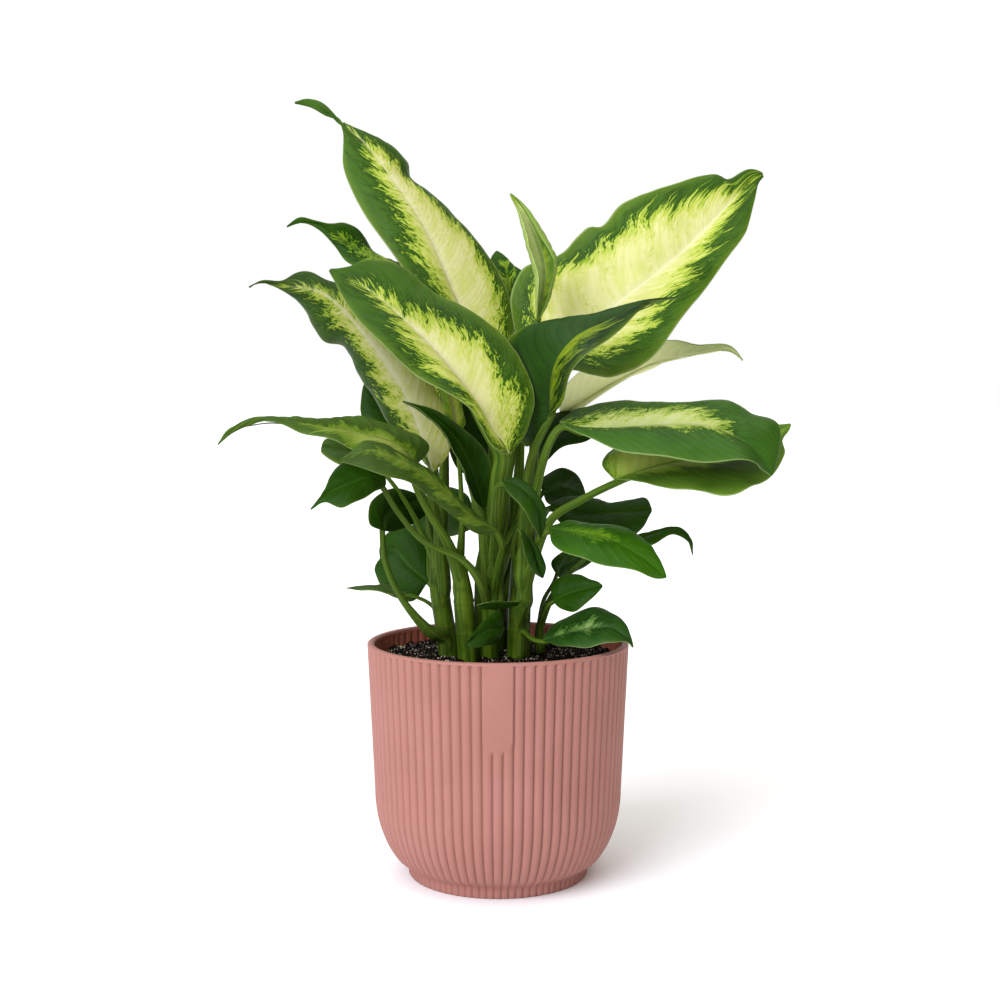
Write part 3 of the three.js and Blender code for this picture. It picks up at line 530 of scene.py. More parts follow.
@dataclass(frozen=True)
class CaneFinish:
    """A smooth green stem, streaked lengthways and blotched darker.

    Attributes:
        green: The stem's colour.
        light: The streaks along it.
        dark: The blotches on it.
        blotch: Blotches in a metre.
        streak_height: Height of the streaks, in metres.
    """

    green: Colour = srgb(46, 68, 8)
    light: Colour = srgb(80, 104, 20)
    dark: Colour = srgb(24, 40, 4)
    blotch: float = 120.0
    streak_height: float = 0.0003

    def material(self) -> bpy.types.Material:
        """Build the finish.

        Returns:
            The material.
        """
        graph = Graph.named("cane_green")
        along, turn, seed = graph.note("grow")
        other = graph.note("zone")[1]
        # the edge note's shade, which paints shade on the hidden back cane
        shade = graph.note("edge")[1]
        streak = graph.noise(graph.vector(along * 0.02, turn * 0.6 + seed, other * 0.6), 1.0, 3.0)
        blotch = graph.noise(graph.place(), self.blotch, 3.0)
        colour = graph.mix(streak.ease(0.35, 0.65), self.green, self.light)
        colour = graph.mix(0.6 * blotch.ease(0.5, 0.75), colour, self.dark)
        return graph.finished(
            Base_Color=graph.shaded(colour, shade),
            Roughness=0.42 + 0.2 * (blotch - 0.5),
            Normal=graph.bump(streak, self.streak_height),
            Specular_IOR_Level=0.08,
        )


class Tone(Enum):
    """The kinds of leaf, by how they are marked."""

    VARIEGATED = "variegated"
    HALF = "half"
    BANDED = "banded"
    PALE_BANDED = "pale_banded"
    BRIGHT = "bright"
    SPLASH = "splash"
    PALE = "pale"
    GREY = "grey"
    YOUNG = "young"
    DARK = "dark"


class LeafNotes:
    """What a leaf's skin says at each point, and noises that are drawn out along its veins.

    On the blade the grow note holds the place across the side veins, the distance from the
    midrib and a seed; the zone note how far inside the pale middle the point lies, its part of
    the midrib's length and which part of the leaf it is on; the edge note its part of the half
    width and the shade, which holds painted light and painted shade as well as tone. Lengths
    are in millimetres. A stalk's grow and zone notes hold places along and around it instead,
    and its zone note begins with its part of the keel's length.
    """

    def __init__(self, graph: Graph, vein_gap: float) -> None:
        """Read the notes and make what all the colours share.

        Args:
            graph: The material's tree.
            vein_gap: Millimetres between side veins.
        """
        self.graph = graph
        self.vein, self.away, self.seed = graph.note("grow")
        self.pale, self.along, part = graph.note("zone")
        self.reach, self.shade, _ = graph.note("edge")
        self.under = part.clamped()
        self.stalk = (part - 1.0).clamped()
        self.across = self.vein + 12.0 * (graph.noise(graph.place(), 70.0, 2.0) - 0.5)
        self.lobe = self.drawn_out(0.10, 0.02, 7.0, 2.0)
        self.streak = self.drawn_out(0.30, 0.08, 0.0, 3.0)
        self.fleck = self.drawn_out(0.55, 0.36, 3.0, 2.5)
        self.dots = self.drawn_out(1.3, 1.0, 5.0, 2.0)
        self.line = 1.0 - self.vein.math("PINGPONG", vein_gap / 2).ease(0.0, 1.7)

    def drawn_out(self, across: float, away: float, start: float, detail: float) -> Wire:
        """Noise of about -0.2 to 0.2.

        Args:
            across: Its waves in a millimetre across the veins.
            away: Its waves in a millimetre along them.
            start: Tells this noise from the others.
            detail: How rough it is.

        Returns:
            The noise.
        """
        place = self.graph.vector(self.across * across, self.away * away, self.seed + start)
        return self.graph.noise(place, 1.0, detail) - 0.5


@dataclass(frozen=True)
class LeafFinish:
    """A satin leaf whose pale middle feathers out along its side veins into green.

    Attributes:
        green: The margin's colour.
        deep: The darkest flecks.
        middle: Where green turns pale.
        lime: Inside that.
        straw: Inside that.
        cream: Beside the midrib.
        rib: The midrib's colour on the upper face.
        under: The underside's colour.
        under_share: How much of it covers the markings there.
        bare_tip: How much of that is missing at the tip.
        margin_share: How much lime there is towards the margins.
        hem: The colour of the thin line at the very margin.
        hem_share: How much of it there is.
        lobes: How far the pale middle reaches out along some veins, in millimetres.
        flecks: How far its border breaks up into flecks.
        stalk: The stalk's colour.
        stalk_light: The streaks along it.
        keel: Its colour where it runs on under the blade.
        vein_gap: Millimetres between side veins.
        vein_share: How dark they show in the green part.
        border: Millimetres from all green to all cream across the border.
        roughness: Of the upper face.
        gloss: How strongly it mirrors light that falls straight on it.
        relief: Height of the veins and flecks, in metres.
    """

    green: Colour = srgb(58, 92, 16)
    deep: Colour = srgb(38, 70, 6)
    middle: Colour = srgb(94, 126, 24)
    lime: Colour = srgb(148, 168, 46)
    straw: Colour = srgb(180, 186, 88)
    cream: Colour = srgb(200, 198, 134)
    rib: Colour = srgb(206, 202, 160)
    under: Colour = srgb(112, 132, 76)
    under_share: float = 0.7
    bare_tip: float = 0.0
    margin_share: float = 0.15
    hem: Colour = srgb(160, 178, 110)
    hem_share: float = 0.4
    lobes: float = 26.0
    flecks: float = 26.0
    stalk: Colour = srgb(50, 76, 10)
    stalk_light: Colour = srgb(90, 114, 30)
    keel: Colour = srgb(74, 100, 24)
    vein_gap: float = 6.5
    vein_share: float = 0.3
    border: float = 34.0
    roughness: float = 0.45
    gloss: float = 0.09
    relief: float = 0.00024

    def blade_colour(self, graph: Graph, notes: LeafNotes) -> Wire:
        """The blade's colour.

        A ramp from green to cream is read across the border of the pale middle, which lobes,
        streaks and flecks have moved. Over it lie soft straw patches, the side veins, the
        midrib and the pale band beside it, lime at the margin, the underside and the hem.

        Args:
            graph: The material's tree.
            notes: What the skin says.

        Returns:
            The colour.
        """
        inside = (notes.pale + self.lobes * notes.lobe + 9.0 * notes.streak
                  + self.flecks * notes.fleck + 0.6 * self.flecks * notes.dots - 1.0)
        blade = graph.ramp(inside * (1 / self.border) + 0.5, [
            (0.0, self.green), (0.22, self.green), (0.40, self.deep), (0.45, self.deep),
            (0.50, self.middle), (0.56, self.lime), (0.70, self.straw), (0.92, self.cream),
        ])
        pale_part, green_part = inside.ease(3.0, 12.0), 1.0 - inside.ease(-4.0, 2.0)
        soft_place = graph.vector(notes.vein * 0.2, notes.away * 0.05, notes.seed + 11.0)
        soft = graph.noise(soft_place, 1.0, 2.0).ease(0.42, 0.66)
        blade = graph.mix(0.55 * soft * pale_part, blade, self.straw)
        sunk = self.vein_share * notes.line * (0.7 + 2.0 * notes.streak).clamped()
        blade = graph.mix(sunk * green_part, blade, self.deep)
        faint = notes.line * (0.5 + 2.0 * notes.streak).clamped() * (0.02 + 0.13 * pale_part)
        rib = (1.0 - notes.away.ease(0.3, 1.2)) * (1.0 - notes.along.ease(0.55, 0.95))
        beside = (1.0 - notes.away.ease(0.5, 7.0)) * inside.ease(4.0, 12.0)
        blade = graph.mix((faint + 0.6 * rib + 0.35 * beside).clamped(), blade, self.rib)
        outer = notes.reach.ease(0.8, 1.0) * (1.0 - inside.ease(-3.0, 3.0))
        blade = graph.mix(self.margin_share * outer, blade, self.lime)
        broad = graph.noise(graph.place(), 45.0, 2.0)
        blade = graph.mix(0.3 * broad.ease(0.4, 0.75), blade, self.deep, "SOFT_LIGHT")
        cover = self.under_share * (1.0 - self.bare_tip * notes.along.ease(0.35, 0.8))
        blade = graph.mix(cover * notes.under, blade, self.under)
        return graph.mix(self.hem_share * notes.reach.ease(0.965, 0.99), blade, self.hem)

    def stem_colour(self, graph: Graph, notes: LeafNotes) -> Wire:
        """The stalk's colour: streaks along it, and the keel's colour under the blade.

        Args:
            graph: The material's tree.
            notes: What the skin says.

        Returns:
            The colour.
        """
        place = graph.vector(notes.vein * 0.03, notes.away * 0.9, notes.along * 0.9 + notes.seed)
        streaks = graph.noise(place, 1.0, 3.0).ease(0.35, 0.68)
        stem = graph.mix(streaks, self.stalk, self.stalk_light)
        return graph.mix(notes.pale.ease(0.0, 0.12), stem, self.keel)

    def material(self, tone: Tone) -> bpy.types.Material:
        """Build the finish.

        Args:
            tone: The kind of leaf that it is for, which names it.

        Returns:
            The material.
        """
        graph = Graph.named("leaf_" + tone.value)
        notes = LeafNotes(graph, self.vein_gap)
        blade, stem = self.blade_colour(graph, notes), self.stem_colour(graph, notes)
        height = 0.35 * notes.line + 0.5 * notes.streak + 0.3 * notes.fleck
        # shaded() lays the piece's painted light and painted shade, with its tone, on the colour
        return graph.finished(
            Base_Color=graph.shaded(graph.mix(notes.stalk, blade, stem), notes.shade),
            Roughness=self.roughness + 0.12 * notes.under + 0.25 * notes.fleck,
            Normal=graph.bump(height, self.relief),
            Specular_IOR_Level=self.gloss,
        )


LEAF_FINISHES: dict[Tone, LeafFinish] = {
    Tone.VARIEGATED: LeafFinish(),
    Tone.HALF: LeafFinish(
        green=srgb(32, 64, 8), deep=srgb(18, 42, 4), middle=srgb(64, 92, 20),
        lime=srgb(96, 118, 16), straw=srgb(122, 138, 28), cream=srgb(134, 146, 40),
        rib=srgb(58, 92, 26), stalk=srgb(54, 82, 14),
        margin_share=0.45, vein_share=0.5, roughness=0.42, gloss=0.12,
    ),
    Tone.BANDED: LeafFinish(
        green=srgb(50, 88, 18), deep=srgb(36, 70, 10), lime=srgb(128, 148, 48),
        straw=srgb(166, 174, 96), cream=srgb(178, 182, 132), rib=srgb(140, 152, 86),
        margin_share=0.05, vein_share=0.6, gloss=0.12,
    ),
    Tone.PALE_BANDED: LeafFinish(
        green=srgb(74, 104, 30), deep=srgb(62, 88, 22), lime=srgb(112, 136, 40),
        straw=srgb(142, 158, 64), cream=srgb(164, 174, 88), rib=srgb(104, 128, 44),
        lobes=14.0, flecks=9.0,
    ),
    Tone.BRIGHT: LeafFinish(
        green=srgb(48, 90, 6), deep=srgb(40, 80, 4), middle=srgb(62, 104, 10),
        lime=srgb(84, 120, 16), straw=srgb(116, 142, 32), cream=srgb(140, 158, 50),
        rib=srgb(66, 108, 18), lobes=14.0, flecks=14.0,
    ),
    Tone.SPLASH: LeafFinish(
        green=srgb(38, 72, 18), deep=srgb(28, 58, 10), middle=srgb(56, 92, 30),
        lime=srgb(84, 116, 48), straw=srgb(138, 160, 96), cream=srgb(172, 184, 136),
        rib=srgb(52, 88, 30), flecks=14.0,
    ),
    Tone.PALE: LeafFinish(
        green=srgb(96, 118, 56), deep=srgb(84, 106, 46), under=srgb(242, 244, 180),
        keel=srgb(214, 218, 158), under_share=0.94, bare_tip=0.75,
        lobes=4.0, flecks=2.0, hem_share=0.0,
    ),
    Tone.GREY: LeafFinish(
        green=srgb(56, 80, 28), deep=srgb(40, 62, 18), rib=srgb(80, 104, 50),
    ),
    Tone.YOUNG: LeafFinish(
        green=srgb(96, 128, 44), deep=srgb(88, 120, 38), middle=srgb(112, 140, 56),
        straw=srgb(196, 210, 120), cream=srgb(218, 228, 152), under=srgb(128, 154, 70),
        rib=srgb(130, 150, 80), under_share=0.85, lobes=4.0, flecks=2.0, hem_share=0.1,
    ),
    Tone.DARK: LeafFinish(
        green=srgb(32, 62, 4), deep=srgb(20, 46, 2), lime=srgb(84, 106, 18),
        straw=srgb(118, 134, 34), cream=srgb(134, 146, 52), under=srgb(48, 70, 24),
        rib=srgb(48, 80, 18), stalk=srgb(50, 72, 14), stalk_light=srgb(80, 102, 32),
        roughness=0.46, gloss=0.07, hem_share=0.2,
    ),
}


# ---------------------------------------------------------------------------
# Pot, soil and canes
# ---------------------------------------------------------------------------


@dataclass
class Pot:
    """The round cover pot, ribbed outside and just inside its rim.

    Attributes:
        height: From its underside to the rim.
        rim_radius: Over the ribs, at the top.
        shoulder_radius: Over the ribs, where the wall starts to curve in.
        shoulder_height: Height of that place.
        belly_depth: How far the lower wall would curve in at the very bottom.
        foot_radius: Of the ring that it stands on.
        foot_height: Of that ring.
        wall: Thickness of the wall.
        floor: Height of the floor inside.
        ribs: Ribs that would fill the whole way round.
        rib_depth: Depth of the grooves between them.
        strip_end: Height of the smooth strip's lower end.
        strip_ribs: Ribs that the strip takes the place of.
        inner_rib_depth: Depth of the grooves inside the rim.
        inner_rib_end: Height at which those end.
        lip_rise: Height of the rounded lip.
        foot_edge: Radius of the rounding below the foot ring.
        columns_per_rib: How finely each rib is drawn.
    """

    height: float = 126.0
    rim_radius: float = 70.2
    shoulder_radius: float = 66.4
    shoulder_height: float = 46.0
    belly_depth: float = 34.0
    foot_radius: float = 48.6
    foot_height: float = 6.5
    wall: float = 3.8
    floor: float = 8.0
    ribs: int = 80
    rib_depth: float = 1.6
    strip_end: float = 80.0
    strip_ribs: float = 3.0
    inner_rib_depth: float = 0.8
    inner_rib_end: float = 90.0
    lip_rise: float = 1.25
    foot_edge: float = 0.6
    columns_per_rib: int = 10

    def radius(self, height: np.ndarray) -> np.ndarray:
        """The radius over the ribs: a cone above the shoulder and a quarter ellipse below it.

        Args:
            height: Heights above the underside.

        Returns:
            The radius at each height.
        """
        up = (height - self.shoulder_height) / (self.height - self.shoulder_height)
        cone = self.shoulder_radius + (self.rim_radius - self.shoulder_radius) * up
        down = np.clip((self.shoulder_height - height) / (self.shoulder_height + 2), 0, 1)
        belly = self.shoulder_radius - self.belly_depth * (1 - np.sqrt(1 - down * down))
        blend = smooth_step(height, self.foot_height - 2.4, self.foot_height + 3.8)
        low = self.foot_radius + (np.maximum(belly, self.foot_radius) - self.foot_radius) * blend
        return np.where(height > self.shoulder_height, cone, low)

    def inner_radius(self, height: np.ndarray) -> np.ndarray:
        """The radius of the space inside."""
        return self.radius(np.maximum(height, self.foot_height + 2)) - self.wall

    def groove(self, angle: np.ndarray) -> np.ndarray:
        """How deep the surface lies between round ribs: 0 on a crest and 1 in a groove.

        With s from -1 to 1 across a rib, the depth is a mix of s² and s to the eighth power, so
        that the crest is round and the groove narrow.

        Args:
            angle: Angles from the front.

        Returns:
            The depth at each angle.
        """
        turn = angle * self.ribs / (2 * math.pi)
        s = 2 * (turn - np.round(turn))
        return 0.6 * s**2 + 0.4 * s**8

    def strip(self, angle: np.ndarray, heights: np.ndarray) -> np.ndarray:
        """Where the smooth strip lies: 1 on it and 0 off it.

        With half its width h, the strip lies above end + h - √(h² - across²), so its lower end
        is a half circle.

        Args:
            angle: Angles from the front.
            heights: Heights above the underside.

        Returns:
            A grid with a row for each height.
        """
        half = self.strip_ribs * math.pi / self.ribs * self.rim_radius
        across = np.abs(angle) * self.rim_radius
        low = self.strip_end + half - np.sqrt(np.maximum(half**2 - across**2, 0))
        return smooth_step(heights[:, None] - low[None, :], -1.2, 1.2) * (across < half * 0.985)

    def outer_heights(self) -> np.ndarray:
        """Heights of the outer wall's rings, closest at the foot, the strip's end and the rim."""
        top, end = self.height, self.strip_end
        return np.concatenate([
            [0.35], np.linspace(0.9, self.foot_height - 0.6, 4),
            np.linspace(self.foot_height, self.shoulder_height, 30)[:-1],
            np.linspace(self.shoulder_height, end - 8, 12)[:-1],
            np.linspace(end - 8, end + 14, 20)[:-1],
            np.linspace(end + 14, top - 2.8, 12),
            np.linspace(top - 2.4, top - 1.3, 6),
        ])

    def skin(self) -> Skin:
        """The pot as rings from the middle of its underside, over the rim, to its floor inside.

        The outer wall's radius is the profile less the rib depth times the groove, faded out
        on the smooth strip and towards the rim; the inner wall has the same ribs, shallower.

        Returns:
            The closed skin.
        """
        angle = np.linspace(0, 2 * math.pi, self.ribs * self.columns_per_rib, endpoint=False)
        from_front = (angle + math.pi / 2 + math.pi) % (2 * math.pi) - math.pi
        cut, top = self.groove(from_front)[None, :], self.height
        outer = self.outer_heights()
        near_rim = smooth_step(outer, top - 2.3, top - 1.3)[:, None]
        foot_fade = 0.6 + 0.4 * smooth_step(outer, 3, 16)[:, None]
        outer_cut = cut * (1 - self.strip(from_front, outer)) * (1 - near_rim) * foot_fade
        foot_round = self.foot_edge * (1 - smooth_step(outer, 0.2, 1.2))[:, None]
        outside = self.radius(outer)[:, None] - self.rib_depth * outer_cut - foot_round
        lip = np.linspace(0, math.pi, 9)[1:-1]
        middle = (self.radius(np.array(top)) + self.inner_radius(np.array(top))) / 2
        lip_radius = middle + (self.wall / 2) * np.cos(lip)
        lip_height = top - self.lip_rise + self.lip_rise * np.sin(lip)
        inner = np.concatenate([np.linspace(top - 1.4, top - 3.6, 6), np.linspace(top - 5, 100, 8),
                                [60, 46, 36, 28, 20, 13, 9.2]])
        ribbed = smooth_step(top - inner, 2.0, 3.4) * (inner > self.inner_rib_end)
        inner_cut = cut * ribbed[:, None]
        inside = self.inner_radius(inner)[:, None] + self.inner_rib_depth * inner_cut
        under = np.array([30.0, self.foot_radius - 3.2, self.foot_radius - 1.2])
        base = np.array([36.0, 10.0])
        bands = [  # radius, height, depth in the grooves, and 1 for the inside
            (under[:, None], np.zeros(len(under)), 0.0, 0.0),
            (outside, outer, outer_cut, 0.0),
            (lip_radius[:, None], lip_height, 0.0, 0.0),
            (inside, inner, inner_cut, 1.0),
            (base[:, None], np.full(len(base), self.floor), 0.0, 1.0),
        ]
        grids = [np.stack(np.broadcast_arrays(wall, height[:, None], depth, within, angle), axis=-1)
                 for wall, height, depth, within in bands]
        radius, heights, cuts, within, turn = np.moveaxis(np.vstack(grids), -1, 0)
        rings = np.stack([radius * np.cos(turn), radius * np.sin(turn), heights], axis=-1)
        return Skin.loft(rings, {"cut": np.stack([cuts, within, 0 * cuts], axis=-1)})

    def build(self) -> None:
        """Make the pot's piece."""
        self.skin().piece("pot_ribbed", "pot", "pot", PotFinish().material())


@dataclass
class Cane:
    """One short upright stem.

    Attributes:
        name: Its CAD node.
        axis: Points that its axis runs through above the soil.
        radius: At the soil and at the top.
        buried: Height at which its node's foot stands in the soil.
        scar_gap: Length between two leaf scars.
        scar_rise: Height of the ring that a scar leaves.
        scar_width: Half the width of that ring.
        tip_share: Radius of its tip, as a part of the radius below it.
        rings: How finely it is drawn along its axis.
        sides: How finely it is drawn round its axis.
        shade: How much lighter, or below 0 darker, it is than the others; the back cane's is painted
            shade.
    """

    name: str
    axis: Points
    radius: tuple[float, float]
    buried: float = 62.0
    scar_gap: float = 17.0
    scar_rise: float = 0.25
    scar_width: float = 0.7
    tip_share: float = 0.4
    rings: int = 150
    sides: int = 28
    shade: float = 0.0

    def skin(self, seed: int) -> Skin:
        """The stem: a taper with a narrow ring at every leaf scar and a pointed tip.

        A ring adds scar_rise · exp(-(distance / scar_width)²) to the radius, where the distance
        is the one to the nearest scar.

        Args:
            seed: Tells one stem's streaks from another's.

        Returns:
            The closed stem.
        """
        foot = (*self.axis[0][:2], self.buried + 2)
        points = [foot, (*self.axis[0][:2], (self.buried + SOIL_LEVEL) / 2), *self.axis]
        shares = np.linspace(0, 1, self.rings)
        place = shares * (self.axis[-1][2] - foot[2]) / self.scar_gap
        scar = np.exp(-((place - np.round(place)) * self.scar_gap / self.scar_width) ** 2)
        radii = self.radius[0] + (self.radius[1] - self.radius[0]) * shares + self.scar_rise * scar
        blunt = 1 - (1 - self.tip_share) * smooth_step(shares, 0.78, 1.0)
        return tube(points, radii * blunt, self.sides, seed, self.shade)


@dataclass
class Canes:
    """The clump of stems.

    Attributes:
        canes: The stems, from the left to the right and then the hidden one behind.
    """

    canes: list[Cane] = field(default_factory=lambda: [
        Cane("cane_left", [(-27, 6, 119), (-31, 7, 147), (-35, 10, 177)], (5.8, 5.2), shade=-0.1),
        Cane("cane_front_left", [(-16, -13, 119), (-18, -14, 147), (-19, -16, 173)], (5.6, 5.2)),
        Cane("cane_centre", [(-6, -3, 119), (-6, -4, 148), (-5, -6, 190)], (7.2, 6.6)),
        Cane("cane_right", [(11, -2, 119), (12, -2, 154), (15, -2, 198)], (6.4, 5.8), shade=0.05),
        Cane("cane_small_right", [(23, 10, 119), (23, 10, 127), (23, 10, 135)], (3.4, 2.8)),
        # painted shade: the hidden back cane is darkened to stand for the shadow among the canes
        Cane("cane_back", [(1, 28, 119), (1, 28, 150), (0, 28, 178)], (5.4, 4.4), shade=-0.65),
    ])

    def build(self) -> None:
        """Make a piece of each stem, all in one finish."""
        material = CaneFinish().material()
        for seed, cane in enumerate(self.canes):
            cane.skin(seed).piece(cane.name + "_stem", cane.name, "cane", material)


@dataclass
class Soil:
    """The soil that fills the pot, with loose grains on its lumpy top.

    Attributes:
        pot: The pot that it fills.
        canes: The stems that stand in it.
        level: Height of its surface.
        gap: Air between it and the pot.
        lumps: Height, turn in X and turn in Y of each wave that crosses its surface.
        roughness: Height and length of the waves of each finer roughness.
        grains: How many loose grains are dropped on it.
        grain_size: The smallest and largest grains, in radius.
    """

    pot: Pot
    canes: list[Cane]
    level: float = SOIL_LEVEL
    gap: float = 0.3
    lumps: tuple = ((0.8, 0.31, 0.27), (0.6, -0.19, 0.53), (0.4, 0.83, 0.41))
    roughness: tuple = ((0.35, 5.0), (0.2, 2.2))
    grains: int = 14000
    grain_size: tuple[float, float] = (0.16, 0.62)

    def surface(self, x: np.ndarray, y: np.ndarray) -> np.ndarray:
        """The surface's height: its level plus a few crossing sine waves and finer roughness.

        Args:
            x: Places to the right.
            y: Places to the back.

        Returns:
            The height at each place.
        """
        height = self.level + sum(rise * np.sin(turn_x * x + turn_y * y)
                                  for rise, turn_x, turn_y in self.lumps)
        places = np.stack([x, y, np.zeros_like(x)], axis=-1)
        for step, (rise, size) in enumerate(self.roughness):
            height = height + rise * wander(places, SEED + step, size)
        return height

    def block(self) -> Skin:
        """The body of soil, as rings up the pot's wall and then in over the surface.

        Returns:
            The closed body.
        """
        sides = 240
        angle = np.linspace(0, 2 * math.pi, sides, endpoint=False)
        walls = np.array([self.pot.floor + self.gap, 10, 13, 20, 30, 46, 80, 105])
        edge = float(self.pot.inner_radius(np.array(self.level))) - self.gap
        shares = np.linspace(1, 0.01, 84)
        radius = np.concatenate([self.pot.inner_radius(walls) - self.gap, edge * shares])
        x, y = radius[:, None] * np.cos(angle), radius[:, None] * np.sin(angle)
        low = np.broadcast_to(walls[:, None], (len(walls), sides))
        high = self.surface(x[len(walls):], y[len(walls):])
        rings = np.stack([x, y, np.vstack([low, high])], axis=-1)
        return Skin.loft(rings, {"grain": np.zeros_like(rings)})

    def loose(self) -> Skin:
        """Angular grains: an eight-sided block, stretched, turned and set down at random.

        Returns:
            All the grains as one skin, each with a shade of its own.
        """
        draw = np.random.default_rng(SEED)
        edge = float(self.pot.inner_radius(np.array(self.level))) - 1.5
        reach = edge * np.sqrt(draw.uniform(0, 1, self.grains))
        turn = draw.uniform(0, 2 * math.pi, self.grains)
        x, y = reach * np.cos(turn), reach * np.sin(turn)
        free = np.ones(self.grains, dtype=bool)
        for cane in self.canes:
            free &= np.hypot(x - cane.axis[0][0], y - cane.axis[0][1]) > cane.radius[0] + 0.6
        x, y = x[free], y[free]
        count = len(x)
        low, high = self.grain_size
        size = low + (high - low) * draw.uniform(0, 1, count) ** 2.2
        corners = np.array([[1, 0, 0], [0, 1, 0], [-1, 0, 0], [0, -1, 0], [0, 0, 1], [0, 0, -1]])
        faces = np.array([[0, 1, 4], [1, 2, 4], [2, 3, 4], [3, 0, 4],
                          [1, 0, 5], [2, 1, 5], [3, 2, 5], [0, 3, 5]])
        first = unit(draw.normal(size=(count, 3)))
        second = unit(np.cross(first, draw.normal(size=(count, 3))))
        axes = np.stack([first, second, np.cross(first, second)], axis=1)
        stretch = size[:, None] * draw.uniform(0.6, 1.4, (count, 3))
        jitter = corners[None] * draw.uniform(0.75, 1.2, (count, 6, 1))
        centres = np.stack([x, y, self.surface(x, y) + 0.25 * size], axis=-1)
        points = (jitter * stretch[:, None]) @ axes + centres[:, None]
        triangles = (faces[None] + 6 * np.arange(count)[:, None, None]).reshape(-1, 3)
        shade = np.repeat(draw.uniform(0, 1, count), 6)
        note = np.stack([shade, np.ones_like(shade), np.zeros_like(shade)], axis=-1)
        return Skin(points.reshape(-1, 3), np.zeros((0, 4), int), triangles, {"grain": note})

    def build(self) -> None:
        """Make the soil's piece."""
        skin = self.block().joined(self.loose())
        skin.piece("soil_loose", "soil", "soil", SoilFinish().material())


# ---------------------------------------------------------------------------
# Leaves
# ---------------------------------------------------------------------------


class Size(Enum):
    """How finely a leaf is drawn: rows along its blade and columns across it."""

    LARGE = (104, 40)
    MEDIUM = (80, 32)
    SMALL = (60, 24)


